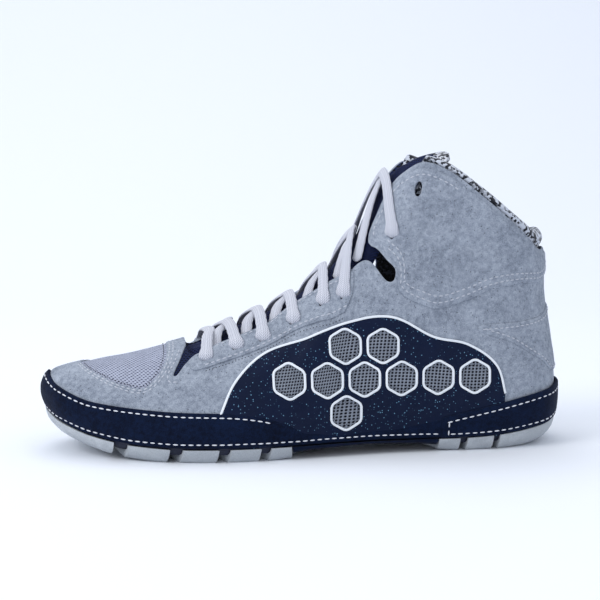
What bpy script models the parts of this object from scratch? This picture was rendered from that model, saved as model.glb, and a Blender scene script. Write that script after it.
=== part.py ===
"""Left wrestling shoe: a mid-high lace-up boot on a split rubber sole.

Frame: +X runs from toe to heel, -Y is the outer (lateral) side, +Z is up. The origin lies
on the floor under the middle of the shoe. Lengths are in metres. "Run" is the distance from
the back of the heel towards the toe, "up" the height over the floor.

Every upper part is taken from one surface, the last: fifteen sections a side, each a curve
from the feather edge (v = 0) to the collar line or the ridge of the vamp (v = 1).
"""

import math
from collections import namedtuple

import bmesh
import bpy
from mathutils import Vector

# Driving sizes
LENGTH = 0.285
BALL_WIDTH = 0.100
SHAFT_HEIGHT = 0.156
TOE_SPRING = 0.0145
ARCH_RISE = 0.0026
# Height of the sole's bulge, as a share of its side
KNEE = 0.40

# Walls and layers
GAP = 0.0003
UPPER_WALL = 0.0024
OVERLAY_WALL = 0.0011
RAND_WALL = 0.0016
LINING_WALL = 0.0034
TONGUE_WALL = 0.0030
MIDSOLE_WALL = 0.0045
OUTSOLE_WALL = 0.0040
INSOLE_WALL = 0.0030
INSOLE_CLEARANCE = 0.0012

# Laces and holes
LACE_WIDTH = 0.0066
LACE_WALL = 0.0017
# Gaps between each crossing's end and the layer below, past the first
CROSSING_GAPS = (1, 2, 2, 2, 3, 5)
EYELET_RADIUS = 0.0021

# One row for each section of the last. base_*: feather edge; low_*: how far the lower
# handle of the curve stands from it; top_*: collar line or ridge; high_*: how far the
# upper handle stands from it. run, low_run, ... are shares of LENGTH, widths are shares
# of BALL_WIDTH and heights of SHAFT_HEIGHT.
Section = namedtuple(
    "Section",
    "name base_run base_outer base_inner low_run low_out low_up "
    "top_run top_outer top_inner top_up high_run high_out high_up",
)
LAST = [
    Section("heel_back", 0.016, 0, 0, -0.032, 0, 0.173, 0.032, 0, 0, 0.692, 0.004, 0, -0.276),
    Section("heel_corner", 0.046, 0.21, 0.205, -0.019, 0.065, 0.154, 0.055, 0.17, 0.17, 0.690, 0.007, 0.015, -0.256),
    Section("heel_side", 0.125, 0.30, 0.295, 0, 0.06, 0.167, 0.103, 0.29, 0.28, 0.763, 0.007, -0.015, -0.269),
    Section("quarter", 0.221, 0.32, 0.29, 0, 0.06, 0.180, 0.179, 0.34, 0.325, 0.878, 0.014, -0.04, -0.320),
    Section("ankle", 0.309, 0.33, 0.27, 0, 0.065, 0.205, 0.246, 0.32, 0.305, 0.968, 0.025, -0.015, -0.320),
    Section("flap", 0.382, 0.35, 0.27, -0.004, 0.07, 0.231, 0.298, 0.24, 0.23, 1.000, 0.042, 0.05, -0.282),
    Section("shin", 0.453, 0.385, 0.29, -0.014, 0.06, 0.256, 0.354, 0, 0, 0.935, 0.011, 0.19, -0.051),
    Section("instep_top", 0.519, 0.42, 0.33, -0.018, 0.06, 0.231, 0.407, 0, 0, 0.740, 0.021, 0.18, -0.038),
    Section("instep", 0.589, 0.455, 0.385, -0.018, 0.05, 0.192, 0.505, 0, 0, 0.558, 0.014, 0.19, -0.019),
    Section("waist_front", 0.663, 0.47, 0.445, -0.007, 0.045, 0.160, 0.614, 0, 0, 0.458, 0.007, 0.24, -0.006),
    Section("ball", 0.740, 0.45, 0.475, -0.004, 0.04, 0.141, 0.723, 0, 0, 0.382, 0.004, 0.27, -0.003),
    Section("toe_joint", 0.825, 0.38, 0.44, 0, 0.045, 0.128, 0.821, 0, 0, 0.336, 0, 0.27, -0.003),
    Section("toe_box", 0.905, 0.27, 0.36, 0.007, 0.05, 0.115, 0.898, 0, 0, 0.311, 0, 0.22, -0.006),
    Section("toe_corner", 0.961, 0.12, 0.24, 0.018, 0.04, 0.096, 0.944, 0, 0, 0.295, 0.014, 0.12, -0.006),
    Section("toe_tip", 0.984, -0.06, 0.06, 0.023, 0, 0.077, 0.958, 0, 0, 0.288, 0.025, 0, -0.010),
]
TOE = len(LAST) - 1

# Underside of the sole along the shoe: run share, share of TOE_SPRING, share of ARCH_RISE
SoleLine = namedtuple("SoleLine", "run spring arch")
SOLE_LINE = [
    SoleLine(-0.02, 0.12, 0),
    SoleLine(0.04, 0, 0),
    SoleLine(0.20, 0, 0),
    SoleLine(0.30, 0, 0.7),
    SoleLine(0.39, 0, 1),
    SoleLine(0.48, 0, 0.7),
    SoleLine(0.58, 0, 0),
    SoleLine(0.76, 0, 0),
    SoleLine(0.83, 0.08, 0),
    SoleLine(0.905, 0.36, 0),
    SoleLine(0.961, 0.76, 0),
    SoleLine(0.984, 1, 0),
    SoleLine(1.02, 1.2, 0),
]

# Edges of the navy rand at each section of the last, as shares of SHAFT_HEIGHT, and how
# far the rubber's ground edge lies inside the rand there, as a share of BALL_WIDTH
RandLine = namedtuple("RandLine", "station low high tuck")
RAND_LINE = [
    RandLine(0, 0.106, 0.212, 0.12),
    RandLine(1, 0.086, 0.198, 0.10),
    RandLine(2, 0.061, 0.167, 0.05),
    RandLine(3, 0.051, 0.130, 0.04),
    RandLine(4, 0.051, 0.098, 0.05),
    RandLine(5, 0.052, 0.084, 0.06),
    RandLine(6, 0.052, 0.080, 0.06),
    RandLine(7, 0.051, 0.096, 0.05),
    RandLine(8, 0.051, 0.147, 0.035),
    RandLine(9, 0.051, 0.164, 0.035),
    RandLine(10, 0.052, 0.167, 0.04),
    RandLine(11, 0.061, 0.177, 0.05),
    RandLine(12, 0.087, 0.196, 0.07),
    RandLine(13, 0.122, 0.238, 0.09),
    RandLine(14, 0.147, 0.270, 0.10),
]

# Edge of the throat: station on the last, share of the section's height that the upper
# reaches. Before the first row lies the collar, behind the last one the closed vamp.
THROAT_EDGE = [
    (4.9, 1.0),
    (5.2, 0.95),
    (5.5, 0.88),
    (5.75, 0.80),
    (6.05, 0.68),
    (6.4, 0.62),
    (6.8, 0.66),
    (7.5, 0.74),
    (8.0, 0.77),
    (8.5, 0.73),
    (9.4, 0.72),
    (9.8, 0.69),
    (10.03, 0.69),
]

# Notch between the ankle flap and the eyestay, seen from the side: shares of LENGTH along
# the run and of SHAFT_HEIGHT up. The same cut goes through both sides.
NOTCH = [
    (0.460, 0.660),
    (0.424, 0.652),
    (0.382, 0.722),
    (0.340, 0.655),
    (0.338, 0.618),
    (0.352, 0.594),
    (0.372, 0.592),
    (0.420, 0.628),
]
# Flex slit between the vamp and the eyestay, seen from the side
SLIT = [(0.703, 0.40), (0.742, 0.40), (0.7475, 0.276), (0.744, 0.270)]

# Lower edge of the ankle cuff, seam from the notch round the back of the heel
CUFF_EDGE = [(0, 0.86), (1, 0.83), (2, 0.76), (2.5, 0.70), (3.2, 0.60), (3.8, 0.545), (4.9, 0.565)]
CUFF_STEP = [(4.91, 0.645), (6.05, 0.655)]
# Heel counter: station, lower and upper edge as shares of the section's height
COUNTER_EDGE = [(0, 0.50, 0.725), (1, 0.46, 0.690), (1.9, 0.485, 0.61), (2.6, 0.505, 0.545)]
# How far overlays stop short of the upper's edge, as a share of the section's height
RIM = 0.01
# Width of the eyestay strip under the throat's edge, as a share of the section's height
EYESTAY = (6.45, 9.72, 0.19)

# Eyelets: station and share of the section's height
EYELETS = [(9.60, 0.625), (9.04, 0.63), (8.50, 0.62), (7.93, 0.645), (7.30, 0.635), (6.72, 0.555)]
FLAP_EYELETS = [(5.23, 0.735), (4.72, 0.894)]

# Navy cage on each side: outline and honeycomb of windows, seen from the side, as
# shares of LENGTH and SHAFT_HEIGHT
CAGE_OUTLINE = [
    (0.676, 0.04),
    (0.640, 0.262),
    (0.588, 0.345),
    (0.510, 0.395),
    (0.430, 0.452),
    (0.350, 0.470),
    (0.270, 0.400),
    (0.205, 0.372),
    (0.150, 0.300),
    (0.122, 0.04),
]
HEX_RADIUS = 0.0098
HEX_PITCH = 0.0222
CAGE_CENTRE = (0.402, 0.272)
# Rows of windows, from the floor up: first and last column of the honeycomb
HEX_ROWS = [(-1, -1, 1), (0, -2, 2), (1, -2, 0)]

# Plan outlines that split the sole, from the outer to the inner side: run shares and
# shares of BALL_WIDTH, at the back of the forefoot rubber and the front of the heel rubber
FOREFOOT_REAR = [
    (0.545, -0.60),
    (0.535, -0.36),
    (0.527, -0.24),
    (0.548, -0.12),
    (0.597, 0.00),
    (0.602, 0.12),
    (0.600, 0.30),
    (0.617, 0.38),
    (0.660, 0.60),
]
HEEL_FRONT = [
    (0.258, -0.60),
    (0.258, -0.30),
    (0.280, -0.17),
    (0.305, -0.02),
    (0.357, 0.11),
    (0.372, 0.25),
    (0.352, 0.60),
]
# Rubber plug in the middle of the arch, plan outline
PLUG = [(0.361, -0.08), (0.474, -0.13), (0.549, 0.06), (0.537, 0.13), (0.393, 0.06)]
PLUG_PROUD = 0.0011

# Flex grooves that reach the outer side: run share at the side, run share and width
# share at the inner end, and the groove's half width as a share of LENGTH
Groove = namedtuple("Groove", "side_run end_run end_y half")
GROOVES = [
    Groove(0.561, 0.660, -0.02, 0.0095),
    Groove(0.639, 0.740, -0.01, 0.0100),
    Groove(0.726, 0.814, 0.00, 0.0105),
    Groove(0.826, 0.884, 0.02, 0.0120),
    Groove(0.190, 0.232, 0.03, 0.0080),
    Groove(0.127, 0.166, 0.03, 0.0070),
]
# Shallow ribs that fan to the inner side, cut a part of the rubber's depth
RIBS = [
    Groove(0.632, 0.664, 0.02, 0.0042),
    Groove(0.702, 0.744, 0.03, 0.0042),
    Groove(0.772, 0.818, 0.04, 0.0042),
    Groove(0.828, 0.886, 0.06, 0.0042),
    Groove(0.205, 0.236, 0.07, 0.0038),
]
RIB_DEPTH = 0.0016

# Gaps between upper and tongue at a station: more under the curved vamp
TONGUE_CLEARANCE = [(8.6, 5), (9.6, 9)]
# Upper end of the tongue: share across (0 is the middle line, 1 the edge), then its run,
# half width and height, as shares of the three main sizes
TONGUE_STATIONS = (10.4, 10.0, 9.6, 9.1, 8.6, 8.1, 7.6, 7.1, 6.75, 6.4, 6.1)
TONGUE_EDGE = [(6.1, 0.49), (6.8, 0.50), (8.0, 0.62), (9.2, 0.64), (10.4, 0.72)]
TONGUE_TIP = [(0, 0.218, 0, 1.028), (0.5, 0.226, 0.115, 1.010), (1, 0.262, 0.185, 0.915)]
TONGUE_BEND = [(0, 0.312, 0, 1.012), (0.5, 0.312, 0.105, 0.965), (1, 0.322, 0.165, 0.850)]
TONGUE_TURNS = 4

# How far the padded lining stands over the collar line, and its depth under it
LINING_LIP = [(0, 0.0095), (1, 0.0085), (1.7, 0.0050), (2.3, 0.0024), (5.2, 0.0020)]
LINING_LOW = [(0, 0.70), (2, 0.74), (5.2, 0.82)]
LINING_END = 5.0

# Stations at which the faceted parts have a column; the throat ends at one of them
THROAT_END = 10.03
COLUMNS = [
    0, 0.5, 1, 1.5, 2, 2.6, 3.2, 3.8, 4.4, 4.9, 5.3, 5.7, 6.05, 6.4, 6.8,
    7.4, 8, 8.6, 9.2, 9.72, THROAT_END, 10.5, 11, 11.5, 12, 12.4, 12.8, 13.3, 14,
]
FIRST_CLOSED = COLUMNS[COLUMNS.index(THROAT_END) + 1]
UPPER_ROWS = 6

COLOURS = {
    "grey suede": ((0.50, 0.54, 0.60, 1), 0.85),
    "navy suede": ((0.010, 0.020, 0.060, 1), 0.90),
    "navy print": ((0.008, 0.022, 0.055, 1), 0.45),
    "grey rubber": ((0.45, 0.46, 0.45, 1), 0.60),
    "navy foam": ((0.012, 0.020, 0.050, 1), 0.50),
    "mottled knit": ((0.25, 0.26, 0.30, 1), 0.95),
    "navy mesh": ((0.012, 0.016, 0.050, 1), 0.95),
    "grey lace": ((0.66, 0.68, 0.74, 1), 0.90),
}


def table(rows, x):
    """Value at x of a smooth curve through (x, value) rows that never overshoots them."""
    if x <= rows[0][0]:
        return rows[0][1]
    if x >= rows[-1][0]:
        return rows[-1][1]
    i = max(k for k in range(len(rows) - 1) if rows[k][0] <= x)
    slopes = [(b[1] - a[1]) / (b[0] - a[0]) for a, b in zip(rows, rows[1:])]

    def tangent(k):
        if k in (0, len(rows) - 1):
            return 0.0
        before, after = slopes[k - 1], slopes[k]
        if before * after <= 0:
            return 0.0
        return 2 * before * after / (before + after)

    width = rows[i + 1][0] - rows[i][0]
    t = (x - rows[i][0]) / width
    start, end = rows[i][1], rows[i + 1][1]
    return (
        (2 * t**3 - 3 * t**2 + 1) * start
        + (t**3 - 2 * t**2 + t) * tangent(i) * width
        + (3 * t**2 - 2 * t**3) * end
        + (t**3 - t**2) * tangent(i + 1) * width
    )


def straight(rows, x):
    """Value at x on straight lines through (x, value) rows."""
    for (a, start), (b, end) in zip(rows, rows[1:]):
        if x <= b:
            return start + (end - start) * max(0.0, (x - a) / (b - a))
    return rows[-1][1]


def rise(run):
    """Height of the sole's underside over the floor at a run in metres."""
    share = run / LENGTH
    spring = table([(row.run, row.spring) for row in SOLE_LINE], share)
    arch = table([(row.run, row.arch) for row in SOLE_LINE], share)
    return spring * TOE_SPRING + arch * ARCH_RISE


def feather(run):
    """Height of the upper's lower edge: the top of the midsole."""
    return rise(run) + OUTSOLE_WALL + MIDSOLE_WALL


def controls():
    """The four control points of each section, lateral from heel to toe, then back medially."""
    order = [(-1, row) for row in LAST] + [(1, row) for row in LAST[-2:0:-1]]
    points = []
    for side, row in order:
        base = row.base_outer if side < 0 else row.base_inner
        top = row.top_outer if side < 0 else row.top_inner
        base_up = feather(row.base_run * LENGTH) / SHAFT_HEIGHT
        points.append(
            [
                (row.base_run, side * base, base_up),
                (row.base_run + row.low_run, side * (base + row.low_out), base_up + row.low_up),
                (row.top_run + row.high_run, side * (top + row.high_out), row.top_up + row.high_up),
                (row.top_run, side * top, row.top_up),
            ]
        )
    scaled = []
    for four in points:
        scaled.append(
            [Vector((LENGTH / 2 - r * LENGTH, y * BALL_WIDTH, z * SHAFT_HEIGHT)) for r, y, z in four]
        )
    return scaled


CONTROLS = controls()
STATIONS = len(CONTROLS)


def knot_line():
    """Spacing of the sections round the shoe, from the length of their steps."""
    knots = [0.0]
    for i, four in enumerate(CONTROLS):
        after = CONTROLS[(i + 1) % STATIONS]
        step = ((four[0] - after[0]).length + (four[3] - after[3]).length) / 2
        knots.append(knots[-1] + step**0.75)
    return knots


KNOTS = knot_line()


def section_at(station):
    """Control points of the section at a station from 0 to STATIONS, on a smooth closed curve."""
    station %= STATIONS
    i = int(station)
    t = station - i

    def knot(k):
        turns, k = divmod(k, STATIONS)
        return KNOTS[k] + turns * KNOTS[-1]

    a, b, c, d = (CONTROLS[(i + k) % STATIONS] for k in (-1, 0, 1, 2))
    before, width, after = knot(i) - knot(i - 1), knot(i + 1) - knot(i), knot(i + 2) - knot(i + 1)
    four = []
    for p, q, r, s in zip(a, b, c, d):
        start = ((q - p) / before * width + (r - q) / width * before) / (before + width) * width
        end = ((r - q) / width * after + (s - r) / after * width) / (width + after) * width
        four.append(
            (2 * t**3 - 3 * t**2 + 1) * q
            + (t**3 - 2 * t**2 + t) * start
            + (3 * t**2 - 2 * t**3) * r
            + (t**3 - t**2) * end
        )
    return four


def on_last(station, v):
    """Point of the last; below v = 0 the section runs straight down."""
    a, b, c, d = section_at(station)
    if v < 0:
        return a + Vector((0, 0, 3 * v * (b.z - a.z)))
    w = 1 - v
    return w**3 * a + 3 * w * w * v * b + 3 * w * v * v * c + v**3 * d


def normal(station, v):
    """Outward normal of the last; on its middle line it has no sideways part."""
    step = 0.01
    on_ridge = v > 0.999 and 6 <= mirrored(station) <= TOE
    v = min(v, 0.96 if on_ridge else 1 - step)
    along = on_last(station + step, v) - on_last(station - step, v)
    up = on_last(station, v + step) - on_last(station, v - step)
    n = up.cross(along)
    if on_ridge or station % STATIONS in (0, TOE):
        n.y = 0
    return n.normalized()


def mirrored(station):
    """The station on the lateral side that lies opposite, or the station itself there."""
    station %= STATIONS
    return station if station <= TOE else STATIONS - station


def lifted(station, v, lift):
    """Point that stands lift metres off the last."""
    return on_last(station, v) + normal(station, v) * lift


def v_at_height(station, up):
    """Share of the section at which it reaches a height, below zero under its foot."""
    four = section_at(station)
    if up <= four[0].z:
        return (up - four[0].z) / (3 * (four[1].z - four[0].z))
    low, high = 0.0, 1.0
    for _ in range(24):
        middle = (low + high) / 2
        if on_last(station, middle).z < up:
            low = middle
        else:
            high = middle
    return low


def columns(first, last, extra=()):
    """Column stations on the lateral side between two stations, both included."""
    inside = [c for c in COLUMNS if first < c < last]
    return sorted({first, last, *inside, *extra})


def all_round():
    """Column stations once round the shoe."""
    return COLUMNS + [STATIONS - c for c in COLUMNS[-2:0:-1]]


def material(name):
    """Material of one of the shoe's finishes."""
    found = bpy.data.materials.get(name)
    if found:
        return found
    colour, roughness = COLOURS[name]
    made = bpy.data.materials.new(name)
    made.use_nodes = True
    shader = made.node_tree.nodes["Principled BSDF"]
    shader.inputs["Base Color"].default_value = colour
    shader.inputs["Roughness"].default_value = roughness
    shader.inputs["Metallic"].default_value = 0.0
    return made


def add_object(name, mesh, finish=None):
    """Puts a mesh in the scene as a named piece."""
    piece = bpy.data.objects.new(name, mesh)
    bpy.context.scene.collection.objects.link(piece)
    if finish:
        mesh.materials.append(material(finish))
    return piece


def solid_from(name, points, faces, finish=None):
    """Closed mesh from keyed points and faces of keys."""
    bm = bmesh.new()
    verts = {key: bm.verts.new(point) for key, point in points.items()}
    for face in faces:
        corners = []
        for key in face:
            if verts[key] not in corners:
                corners.append(verts[key])
        if len(corners) > 2 and not bm.faces.get(corners):
            bm.faces.new(corners)
    bmesh.ops.remove_doubles(bm, verts=bm.verts, dist=1e-6)
    bmesh.ops.recalc_face_normals(bm, faces=bm.faces)
    if bm.calc_volume(signed=True) < 0:
        bmesh.ops.reverse_faces(bm, faces=bm.faces)
    mesh = bpy.data.meshes.new(name)
    bm.to_mesh(mesh)
    bm.free()
    piece = add_object(name, mesh, finish)
    mesh.shade_smooth()
    mesh.set_sharp_from_angle(angle=math.radians(40))
    return piece


def shell(name, sheet, outer, inner, finish=None):
    """Wall between two keyed sheets of the same faces, closed along every free edge."""
    points, faces, edges = {}, [], {}
    for face in sheet:
        keys = [key for i, key in enumerate(face) if key not in face[:i]]
        faces.append([(key, 0) for key in keys])
        faces.append([(key, 1) for key in reversed(keys)])
        for a, b in zip(keys, keys[1:] + keys[:1]):
            edges.setdefault(frozenset((a, b)), []).append((a, b))
        for key in keys:
            points[key, 0] = outer[key]
            points[key, 1] = inner[key]
    for uses in edges.values():
        if len(uses) == 1:
            a, b = uses[0]
            faces.append([(a, 0), (b, 0), (b, 1), (a, 1)])
    return solid_from(name, points, faces, finish)


def prism(name, outline, low, high, axis):
    """Cutter: a plan outline (run, y) raised along Z, or a side outline (run, up) along Y."""
    bm = bmesh.new()
    ring = []
    for first, second in outline:
        x = LENGTH / 2 - first
        ring.append(bm.verts.new((x, second, low) if axis == "Z" else (x, low, second)))
    face = bm.faces.new(ring)
    grown = bmesh.ops.extrude_face_region(bm, geom=[face])
    step = Vector((0, 0, high - low)) if axis == "Z" else Vector((0, high - low, 0))
    moved = [v for v in grown["geom"] if isinstance(v, bmesh.types.BMVert)]
    bmesh.ops.translate(bm, verts=moved, vec=step)
    bmesh.ops.recalc_face_normals(bm, faces=bm.faces)
    mesh = bpy.data.meshes.new(name)
    bm.to_mesh(mesh)
    bm.free()
    cutter = add_object(name, mesh)
    cutter.hide_render = True
    cutter.display_type = "WIRE"
    return cutter


def boolean(piece, cutter, operation):
    """Adds a Boolean to a piece, which keeps the cutter live."""
    step = piece.modifiers.new(cutter.name, "BOOLEAN")
    step.operation = operation
    step.solver = "EXACT"
    step.object = cutter


def side_outline(shares):
    """Side outline in metres from shares of LENGTH and SHAFT_HEIGHT."""
    return [(r * LENGTH, u * SHAFT_HEIGHT) for r, u in shares]


def plan_outline(shares):
    """Plan outline in metres from shares of LENGTH and BALL_WIDTH."""
    return [(r * LENGTH, y * BALL_WIDTH) for r, y in shares]


def throat_top(station):
    """Share of the section that the upper reaches."""
    place = mirrored(station)
    if place <= THROAT_EDGE[0][0] or place > THROAT_END + 0.001:
        return 1.0
    return straight(THROAT_EDGE, place)


def ridge_key(station, row):
    """Key of a grid point, shared by both sides where the vamp closes over the ridge."""
    return ("ridge", round(mirrored(station), 3)) if row == "ridge" else (station, row)


def upper_sheet():
    """Grid of the upper as (station, v) by key, and the faces between its keys."""
    stations = all_round()
    spots, sheet = {}, []

    def key(station, row):
        closed = row == UPPER_ROWS and mirrored(station) > THROAT_END + 0.001
        return ridge_key(station, "ridge") if closed else (station, row)

    for station in stations:
        top = throat_top(station)
        for row in range(UPPER_ROWS + 1):
            spots[key(station, row)] = (station, top * row / UPPER_ROWS)
        if abs(mirrored(station) - THROAT_END) < 1e-6:
            for row in (1, 2):
                spots[station, UPPER_ROWS + row] = (station, top + (1 - top) * row / 3)
            spots[ridge_key(station, "ridge")] = (station, 1.0)
    for a, b in zip(stations, stations[1:] + stations[:1]):
        if {round(mirrored(a), 2), round(mirrored(b), 2)} == {THROAT_END, FIRST_CLOSED}:
            sheet += vamp_corner(a, b, key)
            continue
        for row in range(UPPER_ROWS):
            sheet.append([key(a, row), key(b, row), key(b, row + 1)])
            sheet.append([key(a, row), key(b, row + 1), key(a, row + 1)])
    return spots, sheet


def upper():
    """Hollow wall from the feather edge to the collar and throat, open underneath."""
    spots, sheet = upper_sheet()
    outer = {key: lifted(*spot, 0) for key, spot in spots.items()}
    inner = {key: lifted(*spot, -UPPER_WALL) for key, spot in spots.items()}
    for key in spots:
        if key[1] == 0:
            outer[key].z = inner[key].z = feather(LENGTH / 2 - outer[key].x) + GAP
    piece = shell("upper", sheet, outer, inner, "grey suede")
    wide = BALL_WIDTH
    boolean(piece, prism("cut_notch", side_outline(NOTCH), -wide, wide, "Y"), "DIFFERENCE")
    boolean(piece, prism("cut_slit", side_outline(SLIT), -wide, wide, "Y"), "DIFFERENCE")
    for side in (-1, 1):
        for i, (station, v) in enumerate(EYELETS + FLAP_EYELETS):
            cutter = eyelet_cutter(f"cut_eyelet_{side}_{i}", station, v, side)
            boolean(piece, cutter, "DIFFERENCE")
    return piece


def inside_form():
    """Hidden solid form a gap larger than upper and midsole, to cut their neighbours against."""
    spots, sheet = upper_sheet()
    points = {key: lifted(*spot, GAP) for key, spot in spots.items()}
    faces = list(sheet)
    reach = Vector((0, 0, 0.02 * SHAFT_HEIGHT))
    for station in all_round():
        points[station, "side"], points[station, "bottom"] = midsole_rings(station, GAP)
        if mirrored(station) < THROAT_END:
            points[station, "roof"] = points[station, UPPER_ROWS] + reach

    def roof(station):
        return (station, "roof") if mirrored(station) < THROAT_END else (station, UPPER_ROWS)

    stations = all_round()
    for a, b in zip(stations, stations[1:] + stations[:1]):
        if min(mirrored(a), mirrored(b)) < THROAT_END:
            faces.append([(a, UPPER_ROWS), (b, UPPER_ROWS), roof(b)])
            faces.append([(a, UPPER_ROWS), roof(b), roof(a)])
    faces += walls(["bottom", "side", 0]) + lids("bottom")
    for a, b in zip(COLUMNS, COLUMNS[1:]):
        if b <= THROAT_END:
            faces.append([roof(a), roof(b), roof(on_key(b)), roof(on_key(a))])
    chain = [(THROAT_END, UPPER_ROWS + row) for row in range(3)]
    far = [(on_key(THROAT_END), UPPER_ROWS + row) for row in (2, 1, 0)]
    faces.append([*chain, ridge_key(THROAT_END, "ridge"), *far])
    form = solid_from("form_inside", points, faces)
    form.hide_render = True
    form.display_type = "WIRE"
    return form


def vamp_corner(a, b, key):
    """Faces between the throat's end column and the first column of the closed vamp."""
    open_side, closed_side = (a, b) if mirrored(a) < mirrored(b) else (b, a)
    left = [(open_side, row) for row in range(UPPER_ROWS + 3)]
    left.append(ridge_key(open_side, "ridge"))
    right = [key(closed_side, row) for row in range(UPPER_ROWS + 1)]
    faces = []
    for i in range(UPPER_ROWS):
        faces.append([left[i], right[i], right[i + 1], left[i + 1]])
    for i in range(UPPER_ROWS, UPPER_ROWS + 3):
        faces.append([left[i], right[-1], left[i + 1]])
    return faces


def on_side(station, side):
    """Station on the lateral (-1) or medial (1) side for a lateral station."""
    return station if side < 0 else STATIONS - station


def eyelet_cutter(name, station, v, side):
    """Round punch that stands square to the last."""
    place = on_side(station, side)
    centre, axis = on_last(place, v), normal(place, v)
    bm = bmesh.new()
    turn = axis.to_track_quat("Z", "Y").to_matrix().to_4x4()
    turn.translation = centre
    bmesh.ops.create_cone(
        bm, cap_ends=True, segments=6, radius1=EYELET_RADIUS, radius2=EYELET_RADIUS,
        depth=4 * UPPER_WALL, matrix=turn,
    )
    mesh = bpy.data.meshes.new(name)
    bm.to_mesh(mesh)
    bm.free()
    cutter = add_object(name, mesh)
    cutter.hide_render = True
    cutter.display_type = "WIRE"
    return cutter


def overlay(name, stations, bottom, top, rows, wall, finish):
    """Layer on the upper between two edges, each a function that gives v at a station.

    It starts as a wall on the last and is then cut against the upper's form, so that it
    clears the upper by the gap all over.
    """
    outer, inner, sheet = {}, {}, []
    for station in stations:
        start, end = bottom(station), top(station)
        for row in range(rows + 1):
            v = start + (end - start) * row / rows
            outer[station, row] = lifted(station, v, GAP + wall)
            inner[station, row] = lifted(station, v, -wall / 2)
    closed = len(stations) == len(all_round())
    pairs = list(zip(stations, stations[1:] + stations[:1] if closed else stations[1:]))
    for a, b in pairs:
        for row in range(rows):
            sheet.append([(a, row), (b, row), (b, row + 1)])
            sheet.append([(a, row), (b, row + 1), (a, row + 1)])
    piece = shell(name, sheet, outer, inner, finish)
    boolean(piece, bpy.data.objects["form_inside"], "DIFFERENCE")
    return piece


def rand_edge(station, edge):
    """Height in metres of the rand's low or high edge at a station."""
    rows = [(row.station, getattr(row, edge)) for row in RAND_LINE]
    return table(rows, mirrored(station)) * SHAFT_HEIGHT


def rand():
    """Navy suede band round the foot of the upper, from toe to heel and back."""
    return overlay(
        "rand",
        all_round(),
        lambda s: v_at_height(s, rand_edge(s, "low")),
        lambda s: v_at_height(s, rand_edge(s, "high")),
        2,
        RAND_WALL,
        "navy suede",
    )


def across_back(first, last):
    """Column stations from a medial station round the back of the heel to a lateral one."""
    lateral = columns(0, last)
    return [STATIONS - c for c in reversed(lateral[1:])] + lateral


def ankle_cuff():
    """Outer layer of the ankle, from one flap round the heel to the other."""
    end = CUFF_STEP[-1][0]

    def bottom(station):
        place = mirrored(station)
        return table(CUFF_EDGE, place) if place <= CUFF_EDGE[-1][0] else straight(CUFF_STEP, place)

    piece = overlay(
        "ankle_cuff",
        across_back(-end, end),
        bottom,
        lambda s: throat_top(s) - RIM,
        3,
        OVERLAY_WALL,
        "grey suede",
    )
    for side in (-1, 1):
        for i, (station, v) in enumerate(FLAP_EYELETS):
            boolean(piece, eyelet_cutter(f"cut_cuff_{side}_{i}", station, v, side), "DIFFERENCE")
    return piece


def heel_counter():
    """Wing-shaped layer round the back of the heel."""
    end = COUNTER_EDGE[-1][0]
    return overlay(
        "heel_counter",
        across_back(-end, end),
        lambda s: table([(r[0], r[1]) for r in COUNTER_EDGE], mirrored(s)),
        lambda s: table([(r[0], r[2]) for r in COUNTER_EDGE], mirrored(s)),
        2,
        OVERLAY_WALL,
        "grey suede",
    )


def eyestay(side):
    """Strip with the lace holes along one edge of the throat."""
    first, last, width = EYESTAY
    stations = [on_side(c, side) for c in columns(first, last)]
    piece = overlay(
        "eyestay_lateral" if side < 0 else "eyestay_medial",
        stations,
        lambda s: throat_top(s) - width,
        lambda s: throat_top(s) - RIM,
        2,
        OVERLAY_WALL,
        "grey suede",
    )
    for i, (station, v) in enumerate(EYELETS):
        boolean(piece, eyelet_cutter(f"cut_stay_{side}_{i}", station, v, side), "DIFFERENCE")
    return piece


def cage(side):
    """Navy honeycomb overlay of one side, cut from a blank that follows the upper."""
    stations = [on_side(c, side) for c in columns(1.6, 9.4)]
    piece = overlay(
        "cage_lateral" if side < 0 else "cage_medial",
        stations,
        lambda s: v_at_height(s, rand_edge(s, "high") + 2 * GAP),
        lambda s: min(0.535, throat_top(s) - EYESTAY[2] - 0.012),
        3,
        OVERLAY_WALL,
        "navy print",
    )
    near, far = sorted((side * 0.1 * BALL_WIDTH, side * BALL_WIDTH))
    outline = side_outline(CAGE_OUTLINE)
    boolean(piece, prism(f"cut_cage_{side}", outline, near, far, "Y"), "INTERSECT")
    for row, first, last in HEX_ROWS:
        for column in range(first, last + 1):
            run = CAGE_CENTRE[0] * LENGTH - (column + 0.5 * (row % 2)) * HEX_PITCH
            up = CAGE_CENTRE[1] * SHAFT_HEIGHT + row * HEX_PITCH * math.sqrt(3) / 2
            ring = []
            for corner in range(6):
                turn = math.radians(30 + 60 * corner)
                ring.append((run + HEX_RADIUS * math.cos(turn), up + HEX_RADIUS * math.sin(turn)))
            cutter = prism(f"cut_hex_{side}_{row}_{column}", ring, near, far, "Y")
            boolean(piece, cutter, "DIFFERENCE")
    return piece


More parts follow.
